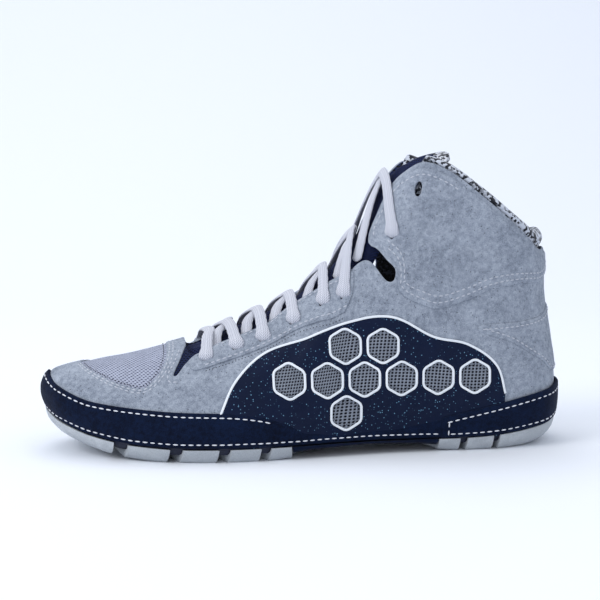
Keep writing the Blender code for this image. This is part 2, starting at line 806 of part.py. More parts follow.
def collar_lining():
    """Padded lining inside the collar that stands over its edge, highest at the heel."""
    stations = across_back(-LINING_END, LINING_END)
    outer, inner, sheet = {}, {}, []
    for station in stations:
        place = mirrored(station)
        lip = table(LINING_LIP, place)
        low = table(LINING_LOW, place)
        start = UPPER_WALL + 3 * GAP
        for row, v in enumerate((low, (low + 1) / 2, 1.0)):
            outer[station, row] = lifted(station, v, -start)
            inner[station, row] = lifted(station, v, -start - LINING_WALL)
        rim = outer[station, 2]
        outer[station, 3] = rim + Vector((0, 0, lip * 0.75)) + normal(station, 1) * start * 0.9
        inner[station, 3] = inner[station, 2] + Vector((0, 0, lip))
    for a, b in zip(stations, stations[1:]):
        for row in range(3):
            sheet.append([(a, row), (b, row), (b, row + 1), (a, row + 1)])
    return shell("collar_lining", sheet, outer, inner, "mottled knit")


def mixed(rows, share):
    """Point of a three-row table (share, run, half width, up) at a signed share across."""
    size = abs(share)
    values = [straight([(r[0], r[k]) for r in rows], size) for k in (1, 2, 3)]
    side = -1 if share < 0 else 1
    x = LENGTH / 2 - values[0] * LENGTH
    return Vector((x, side * values[1] * BALL_WIDTH, values[2] * SHAFT_HEIGHT))


def tongue():
    """Padded tongue: under the vamp it follows the last, over the throat it leans back."""
    shares = [-1, -0.67, -0.33, 0, 0.33, 0.67, 1]
    rings = []
    for station in TONGUE_STATIONS:
        edge = table(TONGUE_EDGE, station)
        under = UPPER_WALL + GAP * table(TONGUE_CLEARANCE, station)
        ring = []
        for share in shares:
            place = on_side(station, -1 if share < 0 else 1)
            ring.append(lifted(place, 1 - (1 - edge) * abs(share), -under))
        rings.append(ring)
    start = rings[-1]
    for turn in range(1, TONGUE_TURNS + 1):
        t = turn / TONGUE_TURNS
        ring = []
        for share, low in zip(shares, start):
            bend, tip = mixed(TONGUE_BEND, share), mixed(TONGUE_TIP, share)
            ring.append((1 - t) ** 2 * low + 2 * t * (1 - t) * bend + t * t * tip)
        rings.append(ring)
    outer, inner, sheet = {}, {}, []
    for i, ring in enumerate(rings):
        before, after = rings[max(i - 1, 0)], rings[min(i + 1, len(rings) - 1)]
        for k, point in enumerate(ring):
            across = ring[min(k + 1, len(ring) - 1)] - ring[max(k - 1, 0)]
            along = after[k] - before[k]
            inward = across.cross(along).normalized()
            if inward.dot(Vector((1, 0, -1))) < 0:
                inward.negate()
            outer[i, k] = point
            inner[i, k] = point + inward * TONGUE_WALL
    for i in range(len(rings) - 1):
        for k in range(len(shares) - 1):
            sheet.append([(i, k), (i + 1, k), (i + 1, k + 1), (i, k + 1)])
    return shell("tongue", sheet, outer, inner, "navy mesh")


def flat_normal(station):
    """Outward normal of the feather edge in plan."""
    n = normal(station, 0)
    n.z = 0
    return n.normalized()


def outline_at(station, inset):
    """Feather edge moved inwards by an inset, at the height of the feather edge."""
    return on_last(station, 0) - flat_normal(station) * inset


def ground_edge(station, height):
    """Edge of the sole's tread at a station, at a height over the underside."""
    tuck = table([(r.station, r.tuck) for r in RAND_LINE], mirrored(station)) * BALL_WIDTH
    point = outline_at(station, tuck - RAND_WALL)
    point.z = rise(LENGTH / 2 - point.x) + height
    return point


def side_level(station):
    """Height down to which the midsole's side is upright."""
    return min(feather(LENGTH / 2 - on_last(station, 0).x) - 0.001, rand_edge(station, "low") - GAP)


def midsole_rings(station, grow):
    """The midsole's upright side and the edge of its bottom, grown by a distance."""
    side = outline_at(station, -grow)
    side.z = side_level(station)
    bottom = ground_edge(station, OUTSOLE_WALL - grow) + flat_normal(station) * grow
    return side, bottom


def lids(level):
    """Faces that close a ring of all stations, one quad for each pair of columns."""
    pairs = zip(COLUMNS, COLUMNS[1:])
    return [[(a, level), (b, level), (on_key(b), level), (on_key(a), level)] for a, b in pairs]


def walls(levels):
    """Triangles between rings of all stations."""
    stations = all_round()
    faces = []
    for a, b in zip(stations, stations[1:] + stations[:1]):
        for low, high in zip(levels, levels[1:]):
            faces.append([(a, low), (b, low), (b, high)])
            faces.append([(a, low), (b, high), (a, high)])
    return faces


def on_key(column):
    """Medial station opposite a lateral column, the same one at heel back and toe tip."""
    return column if column in (0, TOE) else STATIONS - column


def midsole():
    """Navy foam between upper and rubber, seen in the flex grooves."""
    points = {}
    for station in all_round():
        points[station, "side"], points[station, "bottom"] = midsole_rings(station, 0)
        points[station, "top"] = outline_at(station, 0)
        points[station, "top"].z = feather(LENGTH / 2 - points[station, "top"].x)
    faces = walls(["bottom", "side", "top"]) + lids("bottom") + lids("top")
    return solid_from("midsole", points, faces, "navy foam")


def insole():
    """Loose sock liner inside the upper."""
    points = {}
    base = OUTSOLE_WALL + MIDSOLE_WALL + GAP
    for station in all_round():
        edge = outline_at(station, UPPER_WALL + INSOLE_CLEARANCE)
        for level, height in (("low", base), ("high", base + INSOLE_WALL)):
            up = rise(LENGTH / 2 - edge.x) + height
            points[station, level] = Vector((edge.x, edge.y, up))
    faces = walls(["low", "high"]) + lids("low") + lids("high")
    return solid_from("insole", points, faces, "mottled knit")


def sole_cup(name, wall, finish):
    """Body of the sole from the rand down, less the form of what stands in it."""
    points = {}
    for station in all_round():
        low = rand_edge(station, "low") - GAP - RAND_WALL / 3
        n = flat_normal(station)
        edge = on_last(station, v_at_height(station, low)) + n * (GAP + RAND_WALL)
        edge.z = low
        ground = ground_edge(station, OUTSOLE_WALL - wall)
        knee = edge * 0.42 + outline_at(station, -RAND_WALL) * 0.58
        knee -= n * (outline_at(station, -RAND_WALL) - ground).length * 0.16
        knee.z = ground.z + (low - ground.z) * KNEE
        points[station, "edge"] = edge
        points[station, "knee"] = knee
        points[station, "ground"] = ground
    faces = walls(["ground", "knee", "edge"]) + lids("ground") + lids("edge")
    piece = solid_from(name, points, faces, finish)
    boolean(piece, bpy.data.objects["form_inside"], "DIFFERENCE")
    return piece


def beyond(curve, run, shift):
    """Plan outline from a split curve to a far run, the curve moved along the shoe."""
    moved = [(r + shift, y) for r, y in plan_outline(curve)]
    return moved + [(run, moved[-1][1]), (run, moved[0][1])]


def groove_outline(groove, side):
    """Plan outline of a tapering groove from beyond the side to its inner end."""
    out = side * 0.62 * BALL_WIDTH
    half = groove.half * LENGTH
    side_run, end_run = groove.side_run * LENGTH, groove.end_run * LENGTH
    end_y = groove.end_y * BALL_WIDTH
    tip = side * 0.030 * BALL_WIDTH
    return [
        (side_run - half, out),
        (side_run + half, out),
        (end_run + half * 0.75, end_y + tip),
        (end_run, end_y - tip),
        (end_run - half * 0.75, end_y + tip),
    ]


def rubber(name, curve, far_run, front):
    """Forefoot or heel rubber: the sole cup inside its plan outline, with its grooves."""
    piece = sole_cup(name, OUTSOLE_WALL, "grey rubber")
    low, high = -0.01, SHAFT_HEIGHT / 3
    keep = prism(f"keep_{name}", beyond(curve, far_run, 0), low, high, "Z")
    boolean(piece, keep, "INTERSECT")
    for kind, grooves, side, top in (
        ("groove", GROOVES, -1, high),
        ("rib", RIBS, 1, None),
    ):
        for i, groove in enumerate(grooves):
            if (groove.side_run > 0.5) != front:
                continue
            depth = top if top else RIB_DEPTH
            outline = groove_outline(groove, side)
            if kind == "rib":
                depth = rise(groove.side_run * LENGTH) + RIB_DEPTH
            boolean(piece, prism(f"cut_{kind}_{name}_{i}", outline, low, depth, "Z"), "DIFFERENCE")
    return piece


def arch_wrap():
    """Navy suede that covers the waist of the sole between the two rubbers."""
    piece = sole_cup("arch_wrap", RAND_WALL, "navy suede")
    shift = 2 * GAP
    rear = [(r - shift, y) for r, y in plan_outline(FOREFOOT_REAR)]
    front = [(r + shift, y) for r, y in plan_outline(HEEL_FRONT)]
    high = SHAFT_HEIGHT / 3
    boolean(piece, prism("keep_wrap", rear + front[::-1], -0.01, high, "Z"), "INTERSECT")
    plug = prism("cut_plug", grown(plan_outline(PLUG), 2 * GAP), -0.01, high, "Z")
    boolean(piece, plug, "DIFFERENCE")
    return piece


def grown(outline, distance):
    """Plan outline whose points move away from its middle."""
    middle = Vector((sum(p[0] for p in outline), sum(p[1] for p in outline))) / len(outline)
    moved = []
    for point in outline:
        arm = Vector(point) - middle
        moved.append(tuple(middle + arm * (1 + distance * 1.5 / arm.length)))
    return moved


def arch_plug():
    """Rubber insert in the arch, bare on its face, bevelled round its edge."""
    outline = plan_outline(PLUG)
    levels = []
    for run, y in outline:
        top = rise(run) + OUTSOLE_WALL - GAP
        levels.append((run, y, top, rise(run) + OUTSOLE_WALL - RAND_WALL - PLUG_PROUD))
    points, faces = {}, []
    inset = grown(outline, -0.0022)
    for i, (run, y, top, bottom) in enumerate(levels):
        x = LENGTH / 2 - run
        points[i, 0] = Vector((x, y, top))
        points[i, 1] = Vector((x, y, bottom + PLUG_PROUD))
        points[i, 2] = Vector((LENGTH / 2 - inset[i][0], inset[i][1], bottom))
    count = len(outline)
    for i in range(count):
        k = (i + 1) % count
        for level in (0, 1):
            faces.append([(i, level), (k, level), (k, level + 1), (i, level + 1)])
    faces.append([(i, 0) for i in range(count)])
    faces.append([(i, 2) for i in range(count)])
    return solid_from("arch_plug", points, faces, "grey rubber")


def ribbon(name, route, finish=None):
    """Flat lace along a route of (station, v, lift) on the last, with bevelled edges."""
    points, faces = {}, []
    places = [(on_last(s, v), normal(s, v), lift) for s, v, lift in route]
    middle = [p + n * lift for p, n, lift in places]
    for i, (point, n, _) in enumerate(places):
        along = middle[min(i + 1, len(middle) - 1)] - middle[max(i - 1, 0)]
        across = n.cross(along).normalized() * LACE_WIDTH / 2
        out = across.cross(along).normalized() * LACE_WALL
        if out.dot(n) < 0:
            out.negate()
        profile = [(-1, 0.5), (-0.85, 0), (0.85, 0), (1, 0.5), (0.85, 1), (-0.85, 1)]
        for k, (side, level) in enumerate(profile):
            points[i, k] = middle[i] + across * side + out * level
    sides = 6
    for i in range(len(route) - 1):
        for k in range(sides):
            m = (k + 1) % sides
            faces.append([(i, k), (i + 1, k), (i + 1, m), (i, m)])
    for i in (0, len(route) - 1):
        faces.append([(i, k) for k in range(sides)])
    return solid_from(name, points, faces, finish)


def lace_route(start, end, start_side, middle_lift, stay_lift):
    """Route from one side's eyelet or edge over the ridge to the other side's eyelet."""
    (first, first_v, first_lift), (last, last_v) = start, end
    ridge = (first + last) / 2
    near = [on_side(first, start_side), on_side(ridge + (first - ridge) / 2, start_side)]
    far_side = -start_side
    route = [
        (near[0], first_v, first_lift),
        (near[1], (first_v + 1) / 2, (first_lift + middle_lift) / 2),
        (on_side(ridge, start_side), 1.0, middle_lift),
    ]
    for share in (0.35, 0.7, 1.0):
        place = on_side(ridge + (last - ridge) * share, far_side)
        v = 1 + (last_v - 1) * share
        lift = middle_lift + (stay_lift - middle_lift) * min(1.0, share / 0.45)
        route.append((place, v, lift))
    return route


def laces():
    """First bar and six crossings, each one solid, clear of tongue and eyestays."""
    over_stay = GAP + OVERLAY_WALL
    on_tongue = -UPPER_WALL + 2 * GAP
    made = []
    station, v = EYELETS[0]
    route = []
    for side, share in ((-1, 1), (-1, 0.6), (-1, 0.3), (-1, 0), (1, 0.3), (1, 0.6), (1, 1)):
        lift = on_tongue + 0.0012 + (over_stay - on_tongue) * min(1, share / 0.5)
        route.append((on_side(station, side), 1 + (v - 1) * share, lift))
    made.append(ribbon("lace_bar", route, "grey lace"))
    targets = EYELETS[1:] + [FLAP_EYELETS[0]]
    for i, (near, far) in enumerate(zip(EYELETS, targets)):
        inside = throat_top(near[0]) + 0.10
        pair = []
        for side, extra in ((-1, 0.0), (1, LACE_WALL - 0.0003)):
            start = (near[0] - 0.25, inside, on_tongue + extra * 0.3)
            rest = over_stay + GAP * CROSSING_GAPS[i]
            route = lace_route(start, far, side, on_tongue + 0.0012 + extra, rest)
            pair.append(ribbon(f"lace_crossing_{i + 1}" if side < 0 else f"over_{i + 1}", route, "grey lace"))
        under, over = pair
        over.hide_render = True
        over.display_type = "WIRE"
        boolean(under, over, "UNION")
        made.append(under)
    return made


def build():
    """The whole shoe, one object a piece."""
    for old in list(bpy.data.objects):
        bpy.data.objects.remove(old, do_unlink=True)
    upper()
    inside_form()
    rand()
    ankle_cuff()
    heel_counter()
    for side in (-1, 1):
        eyestay(side)
        cage(side)
    collar_lining()
    tongue()
    insole()
    midsole()
    rubber("outsole_forefoot", FOREFOOT_REAR, 1.1 * LENGTH, True)
    rubber("outsole_heel", HEEL_FRONT, -0.1 * LENGTH, False)
    arch_wrap()
    arch_plug()
    laces()


build()
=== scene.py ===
import logging
import math
from collections.abc import Sequence
from dataclasses import dataclass, field
from enum import Enum

import bmesh
import bpy
import numpy as np
from mathutils import Matrix, Vector


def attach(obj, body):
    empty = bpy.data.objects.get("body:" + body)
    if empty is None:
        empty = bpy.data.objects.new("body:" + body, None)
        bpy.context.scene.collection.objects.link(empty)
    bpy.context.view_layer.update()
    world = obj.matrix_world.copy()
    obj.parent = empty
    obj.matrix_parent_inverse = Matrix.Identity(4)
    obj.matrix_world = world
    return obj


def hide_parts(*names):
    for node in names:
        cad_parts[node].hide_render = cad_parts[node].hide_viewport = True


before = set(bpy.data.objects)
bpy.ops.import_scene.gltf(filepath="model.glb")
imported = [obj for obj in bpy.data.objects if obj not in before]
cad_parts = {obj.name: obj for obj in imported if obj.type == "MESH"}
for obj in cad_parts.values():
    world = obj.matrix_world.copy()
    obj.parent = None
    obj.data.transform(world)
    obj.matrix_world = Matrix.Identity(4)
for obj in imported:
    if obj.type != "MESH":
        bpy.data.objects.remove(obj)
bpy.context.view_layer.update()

LOG = logging.getLogger("shoe")
Array = np.ndarray
Socket = bpy.types.NodeSocket
Node = bpy.types.Node
BMesh = bmesh.types.BMesh
Material = bpy.types.Material
Piece = bpy.types.Object
Row = tuple[float, ...]
Spots = Sequence[tuple[float, float]]

# Points nearer than this are welded
WELD = 0.00003
# Spacing of the points of a panel's edge
EDGE_STEP = 0.0011


class Side(Enum):
    """Outer or inner half of the shoe, as the sign of its Y."""

    LATERAL = -1
    MEDIAL = 1


class Finish(Enum):
    """Names of the finishes, passed along with each placed piece."""

    GREY_SUEDE = "grey_suede"
    NAVY_SUEDE = "navy_suede"
    NAVY_PRINT = "navy_print"
    GREY_RUBBER = "grey_rubber"
    NAVY_FOAM = "navy_foam"
    MOTTLED_KNIT = "mottled_knit"
    NAVY_MESH = "navy_mesh"
    GREY_LACE = "grey_lace"


@dataclass(frozen=True)
class Section:
    """One section of the last, as shares of length, width and height."""

    base: tuple[float, float, float]
    low: tuple[float, float, float]
    top: tuple[float, float, float, float]
    high: tuple[float, float, float]


SECTIONS = [
    Section((0.016, 0, 0), (-0.032, 0, 0.173), (0.032, 0, 0, 0.692), (0.004, 0, -0.276)),
    Section((0.046, 0.21, 0.205), (-0.019, 0.065, 0.154), (0.055, 0.17, 0.17, 0.690), (0.007, 0.015, -0.256)),
    Section((0.125, 0.30, 0.295), (0, 0.06, 0.167), (0.103, 0.29, 0.28, 0.763), (0.007, -0.015, -0.269)),
    Section((0.221, 0.32, 0.29), (0, 0.06, 0.180), (0.179, 0.34, 0.325, 0.878), (0.014, -0.04, -0.320)),
    Section((0.309, 0.33, 0.27), (0, 0.065, 0.205), (0.246, 0.32, 0.305, 0.968), (0.025, -0.015, -0.320)),
    Section((0.382, 0.35, 0.27), (-0.004, 0.07, 0.231), (0.298, 0.24, 0.23, 1.000), (0.042, 0.05, -0.282)),
    Section((0.453, 0.385, 0.29), (-0.014, 0.06, 0.256), (0.354, 0, 0, 0.935), (0.011, 0.19, -0.051)),
    Section((0.519, 0.42, 0.33), (-0.018, 0.06, 0.231), (0.407, 0, 0, 0.740), (0.021, 0.18, -0.038)),
    Section((0.589, 0.455, 0.385), (-0.018, 0.05, 0.192), (0.505, 0, 0, 0.558), (0.014, 0.19, -0.019)),
    Section((0.663, 0.47, 0.445), (-0.007, 0.045, 0.160), (0.614, 0, 0, 0.458), (0.007, 0.24, -0.006)),
    Section((0.740, 0.45, 0.475), (-0.004, 0.04, 0.141), (0.723, 0, 0, 0.382), (0.004, 0.27, -0.003)),
    Section((0.825, 0.38, 0.44), (0, 0.045, 0.128), (0.821, 0, 0, 0.336), (0, 0.27, -0.003)),
    Section((0.905, 0.27, 0.36), (0.007, 0.05, 0.115), (0.898, 0, 0, 0.311), (0, 0.22, -0.006)),
    Section((0.961, 0.12, 0.24), (0.018, 0.04, 0.096), (0.944, 0, 0, 0.295), (0.014, 0.12, -0.006)),
    Section((0.984, -0.06, 0.06), (0.023, 0, 0.077), (0.958, 0, 0, 0.288), (0.025, 0, -0.010)),
]
TOE = len(SECTIONS) - 1
AROUND = 2 * TOE

# Run share of the length, share of the toe spring, share of the arch's rise
SOLE_LINE = [
    (-0.02, 0.12, 0), (0.04, 0, 0), (0.20, 0, 0), (0.30, 0, 0.7), (0.39, 0, 1), (0.48, 0, 0.7),
    (0.58, 0, 0), (0.76, 0, 0), (0.83, 0.08, 0), (0.905, 0.36, 0), (0.961, 0.76, 0), (0.984, 1, 0),
    (1.02, 1.2, 0),
]
# Station, low and high edge of the rand as shares of the height, tuck of the tread's edge
RAND_LINE = [
    (0, 0.106, 0.212, 0.12), (1, 0.086, 0.198, 0.10), (2, 0.061, 0.167, 0.05), (3, 0.051, 0.130, 0.04),
    (4, 0.051, 0.098, 0.05), (5, 0.052, 0.084, 0.06), (6, 0.052, 0.080, 0.06), (7, 0.051, 0.096, 0.05),
    (7.6, 0.051, 0.128, 0.04), (8.2, 0.051, 0.151, 0.035), (9, 0.051, 0.164, 0.035),
    (10, 0.052, 0.167, 0.04), (11, 0.061, 0.177, 0.05), (12, 0.087, 0.196, 0.07),
    (13, 0.122, 0.238, 0.09), (14, 0.147, 0.270, 0.10),
]


def eased(rows: Sequence[Row], x: Array, column: int = 1) -> Array:
    """Values of a smooth curve through table rows that never overshoots them.

    Args:
        rows: table whose first column is the key.
        x: keys to look up.
        column: column of the value.

    Returns:
        The values at x.
    """
    keys = np.array([row[0] for row in rows], float)
    values = np.array([row[column] for row in rows], float)
    slopes = np.diff(values) / np.diff(keys)
    tangents = np.zeros(len(keys))
    before, after = slopes[:-1], slopes[1:]
    same = before * after > 0
    tangents[1:-1][same] = 2 * before[same] * after[same] / (before[same] + after[same])
    x = np.clip(np.asarray(x, float), keys[0], keys[-1])
    i = np.clip(np.searchsorted(keys, x, side="right") - 1, 0, len(keys) - 2)
    width = keys[i + 1] - keys[i]
    t = (x - keys[i]) / width
    return hermite(t, values[i], values[i + 1], tangents[i] * width, tangents[i + 1] * width)


def hermite(t: Array, a: Array, b: Array, start: Array, end: Array) -> Array:
    """Cubic from a to b at shares t, with its slopes at the start and the end."""
    return (
        (2 * t**3 - 3 * t**2 + 1) * a
        + (t**3 - 2 * t**2 + t) * start
        + (3 * t**2 - 2 * t**3) * b
        + (t**3 - t**2) * end
    )


def smoothstep(x: Array) -> Array:
    """Soft ramp from 0 to 1."""
    x = np.clip(x, 0.0, 1.0)
    return x * x * (3 - 2 * x)


@dataclass
class Last:
    """The surface that every upper part is taken from."""

    length: float = 0.285
    ball_width: float = 0.100
    height: float = 0.156
    toe_spring: float = 0.0145
    arch_rise: float = 0.0026
    sole: float = 0.0085
    controls: Array = field(init=False)
    knots: Array = field(init=False)

    def __post_init__(self) -> None:
        """Places the control points of every section."""
        rows = [(-1, s) for s in SECTIONS] + [(1, s) for s in SECTIONS[-2:0:-1]]
        points = []
        for side, s in rows:
            base = s.base[1] if side < 0 else s.base[2]
            top = s.top[1] if side < 0 else s.top[2]
            up = float(self.feather(s.base[0] * self.length)) / self.height
            points.append(
                [
                    (s.base[0], side * base, up),
                    (s.base[0] + s.low[0], side * (base + s.low[1]), up + s.low[2]),
                    (s.top[0] + s.high[0], side * (top + s.high[1]), s.top[3] + s.high[2]),
                    (s.top[0], side * top, s.top[3]),
                ]
            )
        shares = np.array(points)
        scale = np.array((-self.length, self.ball_width, self.height))
        self.controls = shares * scale + np.array((self.length / 2, 0, 0))
        after = np.roll(self.controls, -1, axis=0)
        steps = np.linalg.norm((self.controls - after)[:, (0, 3)], axis=2).mean(axis=1)
        self.knots = np.concatenate([[0.0], np.cumsum(steps**0.75)])

    def flip(self, way: Array | float) -> Array | float:
        """X of a run from the heel, and the run of an X."""
        return self.length / 2 - way

    def rise(self, run: Array) -> Array:
        """Height of the sole's underside at a run in metres."""
        share = np.asarray(run) / self.length
        return eased(SOLE_LINE, share) * self.toe_spring + eased(SOLE_LINE, share, 2) * self.arch_rise

    def feather(self, run: Array) -> Array:
        """Height of the upper's lower edge at a run."""
        return self.rise(run) + self.sole

    def sections(self, p: Array) -> Array:
        """Control points of the sections at stations.

        Args:
            p: stations, from heel (0) over the outer side to the toe and back.

        Returns:
            An array of four points a station.
        """
        p = np.mod(np.asarray(p, float), AROUND)
        i = np.minimum(p.astype(int), AROUND - 1)
        t = (p - i)[:, None, None]
        a, b, c, d = (self.controls[(i + k) % AROUND] for k in (-1, 0, 1, 2))
        span = np.diff(self.knots)
        before = span[(i - 1) % AROUND][:, None, None]
        width = span[i][:, None, None]
        after = span[(i + 1) % AROUND][:, None, None]
        start = ((b - a) / before * width + (c - b) / width * before) / (before + width) * width
        end = ((c - b) / width * after + (d - c) / after * width) / (width + after) * width
        return hermite(t, b, c, start, end)

    def point(self, p: Array, v: Array) -> Array:
        """Points of the last; below v = 0 a section runs straight down."""
        p, v = np.broadcast_arrays(np.asarray(p, float), np.asarray(v, float))
        four = self.sections(p.ravel())
        s = np.maximum(v.ravel(), 0)[:, None]
        w = 1 - s
        at = w**3 * four[:, 0] + 3 * w * w * s * four[:, 1] + 3 * w * s * s * four[:, 2] + s**3 * four[:, 3]
        at[:, 2] += np.minimum(v.ravel(), 0) * 3 * (four[:, 1, 2] - four[:, 0, 2])
        return at

    def normal(self, p: Array, v: Array) -> Array:
        """Outward normals; on the ridge they have no sideways part."""
        p, v = (x.ravel().astype(float) for x in np.broadcast_arrays(p, v))
        step = 0.01
        half = self.mirrored(p)
        ridge = smoothstep((v - 0.93) / 0.07) * smoothstep((half - 5.6) / 0.5)
        v = np.minimum(v, np.where(half > 6, 0.97, 1 - step))
        along = self.point(p + step, v) - self.point(p - step, v)
        up = self.point(p, v + step) - self.point(p, v - step)
        n = np.cross(up, along)
        n /= np.linalg.norm(n, axis=1)[:, None]
        middle = (np.abs(half) < 1e-6) | (np.abs(half - TOE) < 1e-6)
        n[:, 1] *= np.where(middle, 0.0, 1 - ridge)
        return n / np.linalg.norm(n, axis=1)[:, None]

    def lifted(self, p: Array, v: Array, lift: Array | float) -> Array:
        """Points that stand off the last by a lift in metres."""
        lift = np.broadcast_to(np.asarray(lift, float), np.broadcast(p, v).shape).ravel()
        return self.point(p, v) + self.normal(p, v) * lift[:, None]

    def mirrored(self, p: Array) -> Array:
        """The opposite outer station of an inner one."""
        p = np.mod(np.asarray(p, float), AROUND)
        return np.where(p <= TOE, p, AROUND - p)

    def on_side(self, p: Array, side: Side) -> Array:
        """Stations of one side for stations of the outer side."""
        return np.asarray(p, float) if side is Side.LATERAL else AROUND - np.asarray(p, float)

    def at_height(self, p: Array, z: Array) -> Array:
        """Share of each section at which it reaches a height."""
        p, z = (np.asarray(x, float).ravel() for x in np.broadcast_arrays(p, z))
        four = self.sections(p)
        under = (z - four[:, 0, 2]) / (3 * (four[:, 1, 2] - four[:, 0, 2]))
        low, high = np.zeros(len(p)), np.ones(len(p))
        for _ in range(22):
            middle = (low + high) / 2
            below = self.point(p, middle)[:, 2] < z
            low, high = np.where(below, middle, low), np.where(below, high, middle)
        return np.where(under < 0, under, low)

    def side_view(self, p: float, v: float) -> Array:
        """X and Z of one point of the last."""
        return self.point(np.array([p]), np.array([v]))[0, [0, 2]]

    def locate(self, spots: Spots) -> list[tuple[float, float]]:
        """Station and share of the outer side that show at points of the side view.

        Args:
            spots: (run, up) in metres.

        Returns:
            A (station, share) pair for each.
        """
        p, v = (g.ravel() for g in np.meshgrid(np.arange(0.3, 13.7, 0.05), np.arange(0, 0.97, 0.01)))
        at = self.point(p, v)
        step_p, step_v, furthest = 0.01, 0.005, 0.06
        found = []
        for run, up in spots:
            want = np.array((self.flip(run), up))
            k = int(np.argmin(((at[:, (0, 2)] - want) ** 2).sum(axis=1)))
            q = np.array((p[k], v[k]))
            for _ in range(3):
                here = self.side_view(*q)
                dp = (self.side_view(q[0] + step_p, q[1]) - here) / step_p
                dv = (self.side_view(q[0], q[1] + step_v) - here) / step_v
                q = q + np.clip(np.linalg.solve(np.array((dp, dv)).T, want - here), -furthest, furthest)
            found.append((float(q[0]), float(q[1])))
        return found


LAST = Last()


@dataclass
class FlatPattern:
    """The plane in which panels are drawn: length round the last, share of the section."""

    tall: float = 0.08
    stations: Array = field(default_factory=lambda: np.linspace(-1, TOE + 1, 481))
    lengths: Array = field(init=False)

    def __post_init__(self) -> None:
        """Measures the way round the last at two fifths of its height."""
        at = LAST.point(self.stations, 0.4)
        steps = np.linalg.norm(np.diff(at, axis=0), axis=1)
        lengths = np.concatenate([[0.0], np.cumsum(steps)])
        self.lengths = lengths - np.interp(0.0, self.stations, lengths)

    def flat(self, spots: Spots) -> Array:
        """Plane points of (station, share) pairs."""
        p, v = np.array(spots, float).T
        return np.stack([np.interp(p, self.stations, self.lengths), v * self.tall], axis=1)

    def spots(self, flat: Array) -> tuple[Array, Array]:
        """Stations and shares of plane points."""
        return np.interp(flat[:, 0], self.lengths, self.stations), flat[:, 1] / self.tall

    def stroke(self, spots: Spots, step: float = EDGE_STEP) -> Array:
        """Smooth plane curve through (station, share) pairs, evenly spaced."""
        return resampled(self.flat(spots), step, smooth=len(spots) > 2)


def resampled(points: Array, step: float, smooth: bool = True, closed: bool = False) -> Array:
    """Even spacing along a line or a smooth curve through points.

    Args:
        points: corners of the line; numbers past the third are carried along.
        step: wanted spacing.
        smooth: bend the line through the points.
        closed: join the last point to the first.

    Returns:
        The spaced points; a closed line doesn't repeat its first.
    """
    points = np.asarray(points, float)
    if closed:
        points = np.concatenate([points, points[:1]])
    if smooth:
        if closed:
            ends = points[-2][None], points[1][None]
        else:
            ends = (2 * points[0] - points[1])[None], (2 * points[-1] - points[-2])[None]
        padded = np.concatenate([ends[0], points, ends[1]])
        t = np.linspace(0, 1, 13)[:-1, None]
        parts = []
        for a, b, c, d in zip(padded, padded[1:], padded[2:], padded[3:]):
            reach = np.linalg.norm((c - b)[:3])
            start = (c - a) / max(np.linalg.norm((c - a)[:3]), 1e-9) * reach
            end = (d - b) / max(np.linalg.norm((d - b)[:3]), 1e-9) * reach
            parts.append(hermite(t, b, c, start, end))
        points = np.concatenate([*parts, points[-1:]])
    steps = np.linalg.norm(np.diff(points[:, :3], axis=0), axis=1)
    way = np.concatenate([[0.0], np.cumsum(steps)])
    count = max(2, int(round(way[-1] / step)))
    at = np.linspace(0, way[-1], count + 1)
    if closed:
        at = at[:-1]
    return np.stack([np.interp(at, way, points[:, k]) for k in range(points.shape[1])], axis=1)


FLAT = FlatPattern()


def from_line(spots: Array, line: Array) -> Array:
    """Distance of points from a line of straight pieces."""
    near = np.full(len(spots), 1e9)
    for a, b in zip(line, line[1:]):
        arm = b - a
        t = np.clip(((spots - a) @ arm) / max(arm @ arm, 1e-12), 0, 1)
        near = np.minimum(near, np.linalg.norm(spots - a - t[:, None] * arm, axis=1))
    return near


@dataclass(frozen=True)
class Crease:
    """A soft trough, or a ridge where its depth is negative, along a line on the upper."""

    line: tuple[tuple[float, float], ...]
    depth: float
    width: float


CREASES = (
    Crease(
        ((4.11, 0.856), (4.45, 0.75), (4.76, 0.663), (4.1, 0.715), (3.2, 0.80), (2.15, 0.888)), 0.0007, 0.0011
    ),
    Crease(((10.35, 0.62), (10.75, 0.52), (11.0, 0.38)), 0.0007, 0.0035),
    Crease(((10.5, 0.94), (10.75, 0.80), (10.85, 0.66)), 0.0006, 0.0030),
    Crease(((9.3, 0.60), (9.9, 0.48), (10.4, 0.34)), 0.0006, 0.0040),
    Crease(((8.6, 0.56), (9.2, 0.44), (9.5, 0.34)), 0.0004, 0.0040),
    Crease(((11.6, 0.98), (11.8, 0.80), (11.9, 0.62)), -0.0004, 0.0050),
    Crease(((4.9, 0.55), (4.5, 0.60), (3.9, 0.61)), 0.0006, 0.0035),
    Crease(((3.4, 0.68), (2.6, 0.76), (1.9, 0.80)), -0.0007, 0.0060),
    Crease(((2.3, 0.62), (1.5, 0.66), (0.6, 0.72)), 0.0005, 0.0035),
    Crease(((3.1, 0.46), (2.4, 0.40), (1.6, 0.36)), 0.0005, 0.0040),
    Crease(((5.5, 0.50), (4.7, 0.49), (4.1, 0.50)), -0.0005, 0.0035),
)


